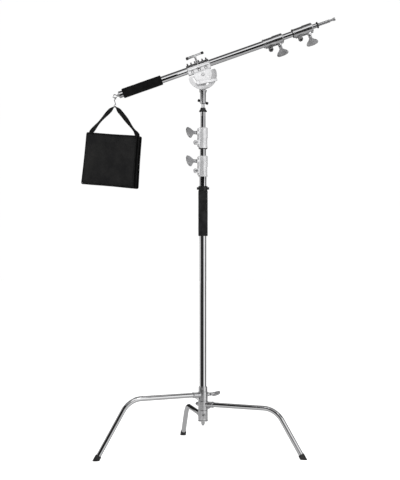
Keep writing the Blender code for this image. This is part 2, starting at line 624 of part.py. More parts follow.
join(cap_obj, keep("cap_knuckle", across(knuckle, span[0], span[1]), tilt))
cut(cap_obj, keep("cap_bore", rod(saddle_low - 0.02, saddle_high + 0.02, BOOM_R + GAP, 24,
                                  shift(z=split) @ ALONG_X), tilt))
cut(cap_obj, pin_cutter)
cut(cap_obj, screw_cutter)
pin = [(0, saddle_low - 0.0025), (0.0045, saddle_low - 0.0025), (0.0045, saddle_low - GAP),
       (0.0030, saddle_low - GAP), (0.0030, saddle_high + GAP), (0.0045, saddle_high + GAP),
       (0.0045, saddle_high + 0.0025), (0, saddle_high + 0.0025)]
keep("cap_hinge_pin", revolve(pin, 10, False, pin_place), tilt, STEEL)

cap_handle_axis = frame("cap_handle_axis", tilt.matrix_world @ shift(screw_x, screw_y, 0)
                        @ Matrix.Rotation(math.radians(-14), 4, "Z"))
stem = [(0, split - 0.0113), (0.0085, split - 0.0113), (0.0085, split - 0.0067), (0.0050, split - 0.0067),
        (0.0050, split + 0.0340), (0.0058, split + 0.0390), (0.0058, split + 0.0550), (0, split + 0.0550)]
cap_handle = keep("cap_handle", revolve(stem, 14), cap_handle_axis, STEEL)
handle_bar = [(0, -0.0445), (0.0052, -0.0445), (0.0064, -0.0430), (0.0064, -0.0050), (0.0050, 0.0000),
              (0.0050, 0.0430), (0.0040, 0.0445), (0, 0.0445)]
join(cap_handle, keep("cap_handle_bar", revolve(handle_bar, 14, False, shift(z=split + 0.0550) @ ALONG_X),
                      cap_handle_axis))

# Boom
outer_end = OUTER_COLLAR_X + COLLAR_SHOULDER - GAP
keep("boom_outer_tube", tube(BOOM_START, outer_end, BOOM_R, BOOM_R - WALL, 24, ALONG_X), boom, CHROME)
grip = [
    (BOOM_R + GAP, BOOM_GRIP_X[0]), (BOOM_GRIP_R - 0.003, BOOM_GRIP_X[0]),
    (BOOM_GRIP_R, BOOM_GRIP_X[0] + 0.003), (BOOM_GRIP_R, BOOM_GRIP_X[1] - 0.003),
    (BOOM_GRIP_R - 0.003, BOOM_GRIP_X[1]), (BOOM_R + GAP, BOOM_GRIP_X[1]),
]
keep("boom_grip", revolve(grip, 24, True, ALONG_X), boom, FOAM)
end_cap = [
    (0, BOOM_START + 0.0200), (BOOM_R - WALL - GAP, BOOM_START + 0.0200),
    (BOOM_R - WALL - GAP, BOOM_START - GAP), (BOOM_R + 0.0008, BOOM_START - GAP),
    (BOOM_R + 0.0008, BOOM_START - 0.0055), (BOOM_R - 0.0020, BOOM_START - 0.0080),
    (0.0075, BOOM_START - 0.0110), (0.0065, BOOM_START - 0.0160), (0, BOOM_START - 0.0160),
]
end_cap_obj = keep("boom_end_cap", revolve(end_cap, 24, False, ALONG_X), boom, CAST)
shank_hole = rod(BOOM_START - 0.0300, BOOM_START - 0.0040, 0.0033, 10, ALONG_X)
cut(end_cap_obj, keep("eye_shank_hole", shank_hole, boom))


def torus(centre, ring, wire, around, sides):
    bm = bmesh.new()
    rows = []
    for k in range(around):
        angle = 2 * math.pi * k / around
        row = []
        for s in range(sides):
            turn = 2 * math.pi * s / sides
            radius = ring + wire * math.cos(turn)
            row.append(bm.verts.new((centre + radius * math.cos(angle), wire * math.sin(turn),
                                     radius * math.sin(angle))))
        rows.append(row)
    for k in range(around):
        low, high = rows[k], rows[(k + 1) % around]
        for s in range(sides):
            bm.faces.new((low[s], low[(s + 1) % sides], high[(s + 1) % sides], high[s]))
    return bm


eye = keep("bag_eye", torus(EYE_X, EYE_R, EYE_WIRE, 16, 8), boom, STEEL)
shank = rod(EYE_X + EYE_R + 0.0005, BOOM_START - 0.0044, 0.0029, 10, ALONG_X)
join(eye, keep("eye_shank", shank, boom))

along_boom = boom.matrix_world
collar("boom_outer_collar", along_boom @ shift(x=OUTER_COLLAR_X) @ ALONG_X, boom, BOOM_R, BOOM_MIDDLE_R)
collar("boom_inner_collar", along_boom @ shift(x=INNER_COLLAR_X) @ ALONG_X, boom_2, BOOM_MIDDLE_R,
       BOOM_TIP_R)
middle_end = COLLAR_SHOULDER - GAP
keep("boom_middle_tube", tube(-0.7300, middle_end, BOOM_MIDDLE_R, BOOM_MIDDLE_R - WALL, 24, ALONG_X), boom_2,
     CHROME)
keep("boom_tip_tube", tube(-0.6600, 0, BOOM_TIP_R, BOOM_TIP_R - WALL, 24, ALONG_X), boom_3, CHROME)
flange = [(0.0083, GAP), (0.0150, GAP), (0.0168, 0.0020), (0.0168, 0.0055), (0.0150, 0.0075),
          (0.0083, 0.0075)]
keep("tip_flange", revolve(flange, 20, True, ALONG_X), boom_3, PLASTIC)
length = TIP_END_X - TIP_FLANGE_X
pin = [(0, -0.0500), (BOOM_TIP_R - WALL - GAP, -0.0500), (BOOM_TIP_R - WALL - GAP, -0.0002),
       (0.0080, -0.0002), (0.0080, 0.0110)]
ROWS = 6
for k in range(ROWS):
    z = 0.0130 + 0.0086 * k
    pin += [(0.0080, z + 0.0050), (0.0070, z + 0.0058), (0.0070, z + 0.0078), (0.0080, z + 0.0086)]
pin += [(0.0080, 0.0690), (0.0055, 0.0715), (0.0055, 0.0840), (0.0085, length - 0.0090),
        (0.0085, length - 0.0020), (0.0070, length), (0, length)]
keep("tip_pin", revolve(pin, 14, False, ALONG_X), boom_3, STEEL)

# Hook and sandbag
eye_world = boom.matrix_world @ Vector((EYE_X, 0, 0))
hook = frame("hook", Matrix.Translation(eye_world) @ Matrix.Rotation(BAG_YAW, 4, "Z"))
ring_low = -EYE_R
top_wire = ring_low + EYE_WIRE + HOOK_WIRE + GAP
top_centre = top_wire - HOOK_TOP_R
low_wire = top_wire - HOOK_DROP
low_centre = low_wire + HOOK_LOW_R
wire = arc((0, top_centre), HOOK_TOP_R, math.radians(-35), math.radians(180), 10)
wire += [(-HOOK_TOP_R * 0.9, top_centre - 0.008), (HOOK_LOW_R * 0.9, low_centre + 0.008)]
wire += arc((0, low_centre), HOOK_LOW_R, 0, math.radians(-215), 11)
keep("bag_hook", sweep([(0, y, z) for y, z in wire], HOOK_WIRE, 8), hook, STEEL)

hook_low = Matrix.Translation(eye_world + Vector((0, 0, low_wire)))
bag = frame("bag", hook_low @ Matrix.Rotation(BAG_YAW, 4, "Z"))
lean = Matrix.Rotation(BAG_ROLL, 4, "Y")


def pouch(name, front):
    """A filled fabric pouch: flat where it meets its twin, bulging on the outside."""
    bm = bmesh.new()
    cells = 10
    sheets = []
    for bulge in (True, False):
        rows = []
        for i in range(cells + 1):
            row = []
            v = 2 * i / cells - 1
            drop = BAG_HEIGHT * (1 - v) / 2
            width = BAG_WIDTH[0] + (BAG_WIDTH[1] - BAG_WIDTH[0]) * (1 - v) / 2
            for j in range(cells + 1):
                u = 2 * j / cells - 1
                thick = POUCH_EDGE
                if bulge:
                    fall = math.sqrt(max(0, 1 - abs(u) ** 4)) * math.sqrt(max(0, 1 - abs(v) ** 4))
                    thick += (POUCH_DEPTH - POUCH_EDGE) * fall * (0.80 + 0.20 * (1 - v) / 2)
                y = front * (thick if bulge else 0.0005)
                row.append(bm.verts.new((BAG_SHIFT + u * width / 2, y, BAG_TOP - drop)))
            rows.append(row)
        sheets.append(rows)
    for rows in sheets:
        for low, high in zip(rows, rows[1:]):
            for j in range(cells):
                bm.faces.new((low[j], low[j + 1], high[j + 1], high[j]))
    rim = []
    for rows in sheets:
        loop = list(rows[0]) + [row[-1] for row in rows[1:]] + list(reversed(rows[-1][:-1]))
        loop += [row[0] for row in reversed(rows[1:-1])]
        rim.append(loop)
    count = len(rim[0])
    for k in range(count):
        after = (k + 1) % count
        bm.faces.new((rim[0][k], rim[0][after], rim[1][after], rim[1][k]))
    bm.transform(lean)
    return keep(name, bm, bag, FABRIC)


pouch("bag_front_pouch", -1)
pouch("bag_rear_pouch", 1)


def strap(name, side):
    """A flat webbing handle from one top corner of the bag up to the hook, with one twist."""
    corner = lean @ Vector((BAG_SHIFT + side * (BAG_WIDTH[0] / 2 - 0.0150), 0, BAG_TOP + 0.0016))
    apex = Vector((side * 0.0004, 0, HOOK_WIRE + GAP + STRAP_T / 2 + 0.0012))
    stations = [0, 0.06, 0.12, 0.2, 0.3, 0.4, 0.5, 0.6, 0.7, 0.8, 0.9, 1]
    bm = bmesh.new()
    rows = []
    for t in stations:
        centre = apex.lerp(corner, t)
        centre.z += 0.004 * math.sin(math.pi * t)
        half = STRAP_APEX_HALF + (STRAP_HALF - STRAP_APEX_HALF) * min(1, max(0, t - 0.06) * 5.5)
        twist = math.radians(90) * min(1, t * 3)
        across_dir = Vector((-side * math.sin(twist) * 0.55, math.cos(twist), -math.sin(twist) * 0.8))
        if t > 0.6:
            ease = (t - 0.6) / 0.4
            across_dir = across_dir.lerp(Vector((-side, 0, side * 0.08)), ease)
        across_dir.normalize()
        ahead = (corner - apex).normalized()
        if t == 0:
            ahead = Vector((side, 0, 0))
        if t == 1:
            ahead = Vector((0, 0, -1))
        normal = ahead.cross(across_dir).normalized()
        row = []
        for a, b in ((1, 1), (1, -1), (-1, -1), (-1, 1)):
            row.append(bm.verts.new(centre + across_dir * (a * half) + normal * (b * STRAP_T / 2)))
        rows.append(row)
    for low, high in zip(rows, rows[1:]):
        for s in range(4):
            bm.faces.new((low[s], low[(s + 1) % 4], high[(s + 1) % 4], high[s]))
    bm.faces.new(rows[0])
    bm.faces.new(rows[-1])
    return keep(name, bm, bag, WEBBING)


strap("bag_strap_left", -1)
strap("bag_strap_right", 1)
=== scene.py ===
"""Looks of the boom stand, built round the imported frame. Lengths are metres in the row frame."""

import json
import math

import bmesh
import bpy
import numpy as np
from mathutils import Matrix, Vector, noise

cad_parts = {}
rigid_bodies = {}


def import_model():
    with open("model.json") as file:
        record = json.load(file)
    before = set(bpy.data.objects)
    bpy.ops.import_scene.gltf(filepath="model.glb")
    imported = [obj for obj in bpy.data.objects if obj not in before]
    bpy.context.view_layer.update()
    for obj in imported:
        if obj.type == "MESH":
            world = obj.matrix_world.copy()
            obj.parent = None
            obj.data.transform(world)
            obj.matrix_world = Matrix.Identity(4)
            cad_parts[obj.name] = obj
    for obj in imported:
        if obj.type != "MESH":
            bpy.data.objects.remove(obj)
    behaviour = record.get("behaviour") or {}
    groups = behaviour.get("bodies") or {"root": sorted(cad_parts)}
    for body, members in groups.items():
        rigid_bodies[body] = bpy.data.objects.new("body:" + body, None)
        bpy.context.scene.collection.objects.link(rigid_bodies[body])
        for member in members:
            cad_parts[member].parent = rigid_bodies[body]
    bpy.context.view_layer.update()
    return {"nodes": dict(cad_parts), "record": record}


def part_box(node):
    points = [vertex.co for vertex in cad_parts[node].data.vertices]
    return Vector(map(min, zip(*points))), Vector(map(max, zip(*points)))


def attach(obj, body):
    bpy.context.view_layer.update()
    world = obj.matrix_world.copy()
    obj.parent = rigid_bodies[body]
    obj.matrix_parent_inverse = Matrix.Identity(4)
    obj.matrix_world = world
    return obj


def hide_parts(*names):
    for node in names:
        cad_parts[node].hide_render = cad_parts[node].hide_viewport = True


for old in list(bpy.data.objects):
    bpy.data.objects.remove(old)
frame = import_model()
nodes = frame["nodes"]
joints = {j["name"]: j for j in frame["record"]["behaviour"]["joints"]}


def rotated(degrees, axis):
    return Matrix.Rotation(math.radians(degrees), 4, axis)


# Places that come from the frame, and the boom's axis above its tilt pivot
COLUMN = Vector(joints["left_leg_fold"]["pos_m"])
COLUMN.z = 0
PIVOT = Vector(joints["boom_tilt"]["pos_m"])
BOOM_U = Vector(joints["boom_slide"]["axis"])
BOOM_N = Vector((-BOOM_U.z, 0, BOOM_U.x))
HOOK_LOW = Vector(joints["bag_swing"]["pos_m"])
BOOM_ABOVE = 0.0448
BOOM_FOOT = PIVOT + BOOM_N * BOOM_ABOVE

# Bag, in its own frame: origin where the handle lies on the hook
BAG_TURN = rotated(-22, "Z")
BAG_LEAN = rotated(5.5, "Y")
BAG_PLACE = Matrix.Translation(HOOK_LOW) @ BAG_TURN @ BAG_LEAN
# Its width at the top and at the bottom, and how far its middle is from under the hook
BAG_WIDTH = (0.2840, 0.2960)
BAG_SHIFT = 0.0090
BAG_HEIGHT = 0.2660
BAG_TOP = -0.1350
BAG_CORNER = 0.007
# A pouch's depth at its outer seam, and the most it may bulge to
POUCH_EDGE = 0.0330
POUCH_BULGE = 0.0465
STITCH_PITCH = 0.0052

# Tubes and the head: wall of every tube, top of the polished socket, bore and rim of the black collar rings
WALL = 0.0015
SOCKET_TOP = PIVOT.z - 0.072
RING_IN = 0.0153
RING_OUT = 0.0222


# ---------------------------------------------------------------- materials
def node(tree, kind, inputs=None, **settings):
    made = tree.nodes.new(kind)
    for key, value in settings.items():
        setattr(made, key, value)
    for key, value in (inputs or {}).items():
        if isinstance(value, bpy.types.NodeSocket):
            tree.links.new(value, made.inputs[key])
        else:
            made.inputs[key].default_value = value
    return made


def start(name, colour, roughness, metallic=0.0):
    made = bpy.data.materials.new(name)
    made.use_nodes = True
    tree = made.node_tree
    shader = tree.nodes["Principled BSDF"]
    shader.inputs["Base Color"].default_value = (*colour, 1)
    shader.inputs["Roughness"].default_value = roughness
    shader.inputs["Metallic"].default_value = metallic
    made.diffuse_color = (*colour, 1)
    return made, tree, shader


def where(tree, kind="Object"):
    return node(tree, "ShaderNodeTexCoord").outputs[kind]


def cloud(tree, place, scale, detail=4.0, rough=0.55):
    return node(tree, "ShaderNodeTexNoise", {"Vector": place, "Scale": scale, "Detail": detail,
                                             "Roughness": rough}).outputs["Fac"]


def spread(tree, value, low, high, from_low=0.3, from_high=0.7):
    return node(tree, "ShaderNodeMapRange", {"Value": value, "From Min": from_low, "From Max": from_high,
                                             "To Min": low, "To Max": high}).outputs["Result"]


def tint(tree, value, dark, light, from_low=0.3, from_high=0.7):
    ramp = node(tree, "ShaderNodeValToRGB", {"Fac": value})
    ramp.color_ramp.elements[0].position = from_low
    ramp.color_ramp.elements[0].color = (*dark, 1)
    ramp.color_ramp.elements[1].position = from_high
    ramp.color_ramp.elements[1].color = (*light, 1)
    return ramp.outputs["Color"]


def bump(tree, height, strength, distance, after=None):
    inputs = {"Height": height, "Strength": strength, "Distance": distance}
    if after is not None:
        inputs["Normal"] = after
    return node(tree, "ShaderNodeBump", inputs).outputs["Normal"]


def math_node(tree, operation, first, second=0.0):
    made = node(tree, "ShaderNodeMath", {0: first, 1: second}, operation=operation)
    return made.outputs[0]


def stripes(tree, place, axis, period):
    """Soft ridges across one axis, one every period metres."""
    return node(tree, "ShaderNodeTexWave", {"Vector": place, "Scale": 2 * math.pi / (20 * period)},
                wave_type="BANDS", bands_direction=axis, wave_profile="SIN").outputs["Fac"]


def chrome(name, colour):
    """Polished plate: hairline sliding scratches along the tube, wiped smudges and a few dull spots."""
    made, tree, shader = start(name, colour, 0.05, 1)
    unrolled = where(tree, "UV")
    fine = node(tree, "ShaderNodeMapping", {"Vector": unrolled, "Scale": (2600, 26, 1)}).outputs[0]
    hair = cloud(tree, fine, 1.0, 3)
    turned = node(tree, "ShaderNodeMapping", {"Vector": unrolled, "Scale": (20, 900, 1)}).outputs[0]
    rings = cloud(tree, turned, 1.0, 2)
    smudge = cloud(tree, where(tree), 19.0, 6, 0.62)
    base = spread(tree, smudge, 0.035, 0.105, 0.42, 0.72)
    lines = spread(tree, hair, 0.0, 0.05, 0.60, 0.80)
    tree.links.new(math_node(tree, "ADD", base, lines), shader.inputs["Roughness"])
    tree.links.new(tint(tree, smudge, colour, tuple(c * 0.93 for c in colour), 0.45, 0.75),
                   shader.inputs["Base Color"])
    normal = bump(tree, hair, 0.05, 0.00004)
    normal = bump(tree, rings, 0.04, 0.00004, normal)
    tree.links.new(normal, shader.inputs["Normal"])
    return made


def casting(name, colour, low, high, grain, edge=0.0007, metallic=1.0):
    """Plated casting or turned steel: softened edges, faint orange peel, and painted shade that darkens the
    colour in the corners.
    """
    made, tree, shader = start(name, colour, low, metallic)
    place = where(tree)
    peel = cloud(tree, place, grain, 3, 0.5)
    patch = cloud(tree, place, 34.0, 5, 0.6)
    drawn = node(tree, "ShaderNodeMapping", {"Vector": place, "Scale": (1, 1, 14)}).outputs[0]
    fine = cloud(tree, drawn, 260.0, 3)
    rough = math_node(tree, "ADD", spread(tree, patch, low, high), spread(tree, fine, 0.0, 0.06))
    tree.links.new(rough, shader.inputs["Roughness"])
    # Painted shade: an ambient occlusion node darkens the base colour in corners and recesses
    shade = node(tree, "ShaderNodeAmbientOcclusion", {"Distance": 0.009}, samples=8)
    painted_corner_shade = tint(tree, shade.outputs["AO"], (0.10, 0.10, 0.10), (1, 1, 1), 0.25, 0.80)
    worn = tint(tree, patch, tuple(c * 0.88 for c in colour), colour)
    mixed = node(tree, "ShaderNodeMix", {0: 1.0, 6: worn, 7: painted_corner_shade}, data_type="RGBA", blend_type="MULTIPLY")
    tree.links.new(mixed.outputs[2], shader.inputs["Base Color"])
    soft = node(tree, "ShaderNodeBevel", {"Radius": edge}, samples=4)
    normal = bump(tree, peel, 0.04, 0.00003, soft.outputs["Normal"])
    normal = bump(tree, fine, 0.03, 0.00002, normal)
    tree.links.new(normal, shader.inputs["Normal"])
    return made


def brushed(name, colour):
    """Pressed plate with straight brushing and patches of slightly rougher finish."""
    made, tree, shader = start(name, colour, 0.26, 1)
    place = where(tree)
    turned = node(tree, "ShaderNodeMapping", {"Vector": place, "Rotation": (0, math.radians(19.4), 0),
                                              "Scale": (22, 300, 1500)}).outputs[0]
    lines = cloud(tree, turned, 1.0, 4, 0.6)
    patch = cloud(tree, place, 26.0, 4, 0.6)
    tree.links.new(math_node(tree, "ADD", spread(tree, lines, 0.14, 0.30), spread(tree, patch, 0.0, 0.08)),
                   shader.inputs["Roughness"])
    tree.links.new(tint(tree, lines, tuple(c * 0.82 for c in colour), colour), shader.inputs["Base Color"])
    soft = node(tree, "ShaderNodeBevel", {"Radius": 0.0006}, samples=4)
    tree.links.new(bump(tree, lines, 0.08, 0.00002, soft.outputs["Normal"]), shader.inputs["Normal"])
    return made


def moulded(name, colour, low, high, grain, depth, scuff):
    """Moulded plastic or rubber: fine texture, dusty scuffs that are lighter and rougher."""
    made, tree, shader = start(name, colour, low)
    place = where(tree)
    texture = cloud(tree, place, grain, 4, 0.6)
    dust = cloud(tree, place, 30.0, 7, 0.68)
    tree.links.new(tint(tree, dust, colour, scuff, 0.50, 0.80), shader.inputs["Base Color"])
    tree.links.new(spread(tree, dust, low, high, 0.35, 0.7), shader.inputs["Roughness"])
    soft = node(tree, "ShaderNodeBevel", {"Radius": 0.0008}, samples=4)
    tree.links.new(bump(tree, texture, 0.35, depth, soft.outputs["Normal"]), shader.inputs["Normal"])
    return made


def foam(name, colour, light):
    """Closed-cell foam: a skin of small pores with rubbed, paler patches."""
    made, tree, shader = start(name, colour, 0.92)
    place = where(tree)
    pores = node(tree, "ShaderNodeTexVoronoi", {"Vector": place, "Scale": 820.0}, feature="F1")
    cells = spread(tree, pores.outputs["Distance"], 0.0, 1.0, 0.1, 0.65)
    soft = cloud(tree, place, 160.0, 5, 0.6)
    rub = cloud(tree, place, 22.0, 6, 0.66)
    tree.links.new(tint(tree, rub, colour, light, 0.42, 0.78), shader.inputs["Base Color"])
    tree.links.new(spread(tree, rub, 0.96, 0.80), shader.inputs["Roughness"])
    shader.inputs["Sheen Weight"].default_value = 0.02
    shader.inputs["Sheen Roughness"].default_value = 0.5
    shader.inputs["Specular IOR Level"].default_value = 0.15
    normal = bump(tree, cells, 0.45, 0.00030)
    tree.links.new(bump(tree, soft, 0.30, 0.00040, normal), shader.inputs["Normal"])
    return made


def woven(name, colour, light, period, kind="Object", axes=("X", "Z"), sheen=0.10, gloss=0.3):
    """Plain-woven nylon: warp and weft that pass over each other, slubs, and dust in the folds."""
    made, tree, shader = start(name, colour, 0.85)
    place = where(tree, kind)
    loose = node(tree, "ShaderNodeTexNoise", {"Vector": place, "Scale": 60.0, "Detail": 2.0})
    wobble = node(tree, "ShaderNodeVectorMath", {0: loose.outputs["Color"], 1: (0.0004, 0.0004, 0.0004)},
                  operation="MULTIPLY").outputs[0]
    bent = node(tree, "ShaderNodeVectorMath", {0: place, 1: wobble}, operation="ADD").outputs[0]
    warp = stripes(tree, bent, axes[0], period)
    weft = stripes(tree, bent, axes[1], period)
    over = stripes(tree, bent, "DIAGONAL", period * 1.7)
    threads = math_node(tree, "MAXIMUM", math_node(tree, "MULTIPLY", warp, over),
                        math_node(tree, "MULTIPLY", weft, math_node(tree, "SUBTRACT", 1.0, over)))
    dust = cloud(tree, place, 13.0, 7, 0.65)
    slub = cloud(tree, place, 420.0, 2, 0.5)
    shade = tint(tree, dust, colour, light, 0.38, 0.72)
    dark = tint(tree, threads, (0.45, 0.45, 0.46), (1, 1, 1), 0.05, 0.75)
    mixed = node(tree, "ShaderNodeMix", {0: 1.0, 6: shade, 7: dark}, data_type="RGBA", blend_type="MULTIPLY")
    tree.links.new(mixed.outputs[2], shader.inputs["Base Color"])
    tree.links.new(spread(tree, slub, 0.72, 0.92), shader.inputs["Roughness"])
    shader.inputs["Sheen Weight"].default_value = sheen
    shader.inputs["Sheen Roughness"].default_value = 0.35
    shader.inputs["Specular IOR Level"].default_value = gloss
    normal = bump(tree, threads, 0.55, 0.00028)
    tree.links.new(bump(tree, slub, 0.2, 0.0002, normal), shader.inputs["Normal"])
    return made


CHROME = chrome("polished_chrome", (0.84, 0.84, 0.85))
CAST = casting("plated_casting", (0.82, 0.82, 0.83), 0.12, 0.24, 420.0)
SATIN = casting("satin_casting", (0.90, 0.90, 0.91), 0.22, 0.36, 420.0, 0.0007, 0.62)
KNOB = casting("knob_casting", (0.56, 0.56, 0.57), 0.18, 0.30, 300.0, 0.0010, 0.88)
STEEL = casting("turned_steel", (0.82, 0.82, 0.83), 0.08, 0.18, 700.0, 0.0005)
PLATE = brushed("brushed_plate", (0.88, 0.88, 0.89))
RUBBER = moulded("boot_rubber", (0.010, 0.010, 0.010), 0.55, 0.85, 900.0, 0.0002, (0.045, 0.043, 0.040))
PLASTIC = moulded("black_plastic", (0.008, 0.008, 0.008), 0.32, 0.55, 1300.0, 0.0001, (0.020, 0.020, 0.020))
FOAM_BOOM = foam("boom_foam", (0.0015, 0.0015, 0.0017), (0.0055, 0.0055, 0.0057))
# Painted sheen: a lighter copy of the black foam, used for the column's sleeve
FOAM_COLUMN_PAINTED_SHEEN = foam("column_foam", (0.0085, 0.0085, 0.0090), (0.026, 0.026, 0.027))
FABRIC = woven("bag_nylon", (0.0052, 0.0052, 0.0058), (0.0150, 0.0146, 0.0138),
               0.0011, "Object", ("X", "Z"), 0.05)
# Painted shade: a darker copy of the bag nylon for the pouch's side, top and bottom faces
GUSSET_PAINTED_SHADE = woven("gusset_nylon_painted_shade", (0.0008, 0.0008, 0.0008), (0.0022, 0.0022, 0.0022),
               0.0011, "Object", ("Y", "Z"), 0.0, 0.06)
TAPE = woven("binding_tape", (0.0020, 0.0020, 0.0022), (0.0050, 0.0050, 0.0050),
             0.0008, "UV", ("X", "Y"), 0.02)
WEBBING = woven("strap_webbing", (0.0022, 0.0022, 0.0024), (0.0070, 0.0070, 0.0070),
                0.0016, "UV", ("X", "Y"), 0.03)
THREAD, thread_tree, thread_shader = start("seam_thread", (0.012, 0.012, 0.012), 0.7)
thread_twist = cloud(thread_tree, where(thread_tree), 2400.0, 2)
thread_tree.links.new(bump(thread_tree, thread_twist, 0.4, 0.0001), thread_shader.inputs["Normal"])
thread_tree.links.new(spread(thread_tree, thread_twist, 0.6, 0.85), thread_shader.inputs["Roughness"])

SLOT_LOOK = {
    "chrome_tube": CHROME, "cast_alloy": CAST, "wing_knob": KNOB, "zinc_steel": STEEL, "brushed_plate": PLATE,
    "black_rubber": RUBBER, "black_foam": FOAM_BOOM, "black_plastic": PLASTIC, "bag_fabric": FABRIC,
    "strap_webbing": WEBBING,
}
SATIN_NODES = ("lower_collar", "upper_collar", "swivel_socket", "boom_saddle", "tilt_lever")
NODE_LOOK = {name: SATIN for name in SATIN_NODES}
SLOT_OF = {part["node"]: part["material_slot"] for part in frame["record"]["subparts"]}


# ---------------------------------------------------------------- carried-over CAD nodes
def finish_node(name):
    """Gives a CAD node its finish and shades its round faces smoothly, without moving a vertex."""
    shown = nodes[name]
    mesh = shown.data
    own = mesh.attributes.get("custom_normal")
    if own is not None:
        mesh.attributes.remove(own)
    mesh.polygons.foreach_set("use_smooth", [True] * len(mesh.polygons))
    mesh.materials.clear()
    mesh.materials.append(NODE_LOOK.get(name, SLOT_LOOK[SLOT_OF[name]]))
    if name == "swivel_socket":
        # The socket under the fork is turned and polished, the fork is left satin
        mesh.materials.append(CAST)
        for face in mesh.polygons:
            face.material_index = 1 if face.center.z < SOCKET_TOP else 0
    weld = shown.modifiers.new("weld", "WELD")
    weld.merge_threshold = 0.00001
    split = shown.modifiers.new("edges", "EDGE_SPLIT")
    split.split_angle = math.radians(32)


for node_name in nodes:
    finish_node(node_name)


# ---------------------------------------------------------------- mesh helpers
def piece(name, bm, look, body, replaces=(), place=None, smooth=40):
    """A finished mesh piece on its body. With a place, its own axes are those of the place."""
    bmesh.ops.recalc_face_normals(bm, faces=bm.faces)
    mesh = bpy.data.meshes.new(name)
    bm.to_mesh(mesh)
    bm.free()
    made = bpy.data.objects.new(name, mesh)
    bpy.context.scene.collection.objects.link(made)
    if place is not None:
        made.matrix_world = place
    for one in look if isinstance(look, (list, tuple)) else [look]:
        mesh.materials.append(one)
    mesh.shade_smooth()
    mesh.set_sharp_from_angle(angle=math.radians(smooth))
    if replaces:
        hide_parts(*replaces)
    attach(made, body)
    return made


def lathe(profile, place, sides=64, closed=False):
    """Turns (radius, z) points about the place's Z axis, with U round the girth and V along the profile."""
    bm = bmesh.new()
    layer = bm.loops.layers.uv.new("UVMap")
    rows = []
    lengths = [0.0]
    for before, after in zip(profile, profile[1:]):
        lengths.append(lengths[-1] + math.dist(before, after))
    for radius, z in profile:
        if radius < 1e-7:
            rows.append([bm.verts.new(place @ Vector((0, 0, z)))] * sides)
            continue
        row = []
        for k in range(sides):
            angle = 2 * math.pi * k / sides
            row.append(bm.verts.new(place @ Vector((radius * math.cos(angle), radius * math.sin(angle), z))))
        rows.append(row)
    pairs = list(zip(range(len(rows) - 1), range(1, len(rows))))
    if closed:
        pairs.append((len(rows) - 1, 0))
    for a, b in pairs:
        girth = 2 * math.pi * max(profile[a][0], profile[b][0])
        for k in range(sides):
            after = (k + 1) % sides
            corners = [(rows[a][k], k, a), (rows[a][after], k + 1, a),
                       (rows[b][after], k + 1, b), (rows[b][k], k, b)]
            unique = []
            for corner in corners:
                if corner[0] not in [u[0] for u in unique]:
                    unique.append(corner)
            if len(unique) < 3:
                continue
            face = bm.faces.new([u[0] for u in unique])
            for loop, (_, across, row) in zip(face.loops, unique):
                loop[layer].uv = (girth * across / sides, lengths[row])
    return bm


def swept(path, radius, sides=40, inner=None, closed=False):
    """A round bar or tube along points, without twist, with U round the girth and V along it."""
    path = [Vector(p) for p in path]
    count = len(path)
    ahead = []
    for k in range(count):
        a = path[(k - 1) % count] if closed or k else path[k]
        b = path[(k + 1) % count] if closed or k < count - 1 else path[k]
        ahead.append((b - a).normalized())
    side = ahead[0].orthogonal().normalized()
    sides_of = [side]
    for k in range(1, count):
        side = sides_of[-1] - ahead[k] * sides_of[-1].dot(ahead[k])
        sides_of.append(side.normalized())
    bm = bmesh.new()
    layer = bm.loops.layers.uv.new("UVMap")
    length = [0.0]
    for a, b in zip(path, path[1:]):
        length.append(length[-1] + (b - a).length)
    shells = []
    for r in [radius] + ([inner] if inner else []):
        rows = []
        for k in range(count):
            up = ahead[k].cross(sides_of[k])
            row = []
            for s in range(sides):
                angle = 2 * math.pi * s / sides
                row.append(bm.verts.new(path[k] + (sides_of[k] * math.cos(angle) + up * math.sin(angle)) * r))
            rows.append(row)
        for k in range(count if closed else count - 1):
            for s in range(sides):
                after = (s + 1) % sides
                top = (k + 1) % count
                face = bm.faces.new((rows[k][s], rows[k][after], rows[top][after], rows[top][s]))
                for loop, (across, at) in zip(face.loops, ((s, k), (s + 1, k), (s + 1, k + 1), (s, k + 1))):
                    v = length[at] if at < count else length[-1] + 0.001
                    loop[layer].uv = (2 * math.pi * r * across / sides, v)
        shells.append(rows)
    if not closed:
        for end in (0, -1):
            if inner:
                for s in range(sides):
                    after = (s + 1) % sides
                    outside, inside = shells[0][end], shells[1][end]
                    bm.faces.new((outside[s], outside[after], inside[after], inside[s]))
            else:
                bm.faces.new(shells[0][end])
    return bm


def along(origin, axis):
    """A place whose Z runs along an axis."""
    turn = Vector((0, 0, 1)).rotation_difference(Vector(axis)).to_matrix().to_4x4()
    return Matrix.Translation(origin) @ turn


AT_COLUMN = Matrix.Translation(COLUMN)
AT_BOOM = along(BOOM_FOOT, BOOM_U)


def tube(name, place, low, high, outer, body, replaced):
    """A drawn tube with a slightly eased lip at both ends."""
    lip = 0.0004
    profile = [(outer - lip, low), (outer, low + lip), (outer, (low + high) / 2), (outer, high - lip),
               (outer - lip, high), (outer - WALL, high), (outer - WALL, low)]
    return piece(name, lathe(profile, place, 72, True), CHROME, body, (replaced,))


def span(name):
    """Lowest and highest place of a column node along the column."""
    low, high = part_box(name)
    return low.z, high.z


def boom_span(name):
    """Lowest and highest place of a boom node along the boom axis."""
    co = np.empty(len(nodes[name].data.vertices) * 3)
    nodes[name].data.vertices.foreach_get("co", co)
    along_boom = (co.reshape(-1, 3) - np.array(BOOM_FOOT)) @ np.array(BOOM_U)
    return float(along_boom.min()), float(along_boom.max())


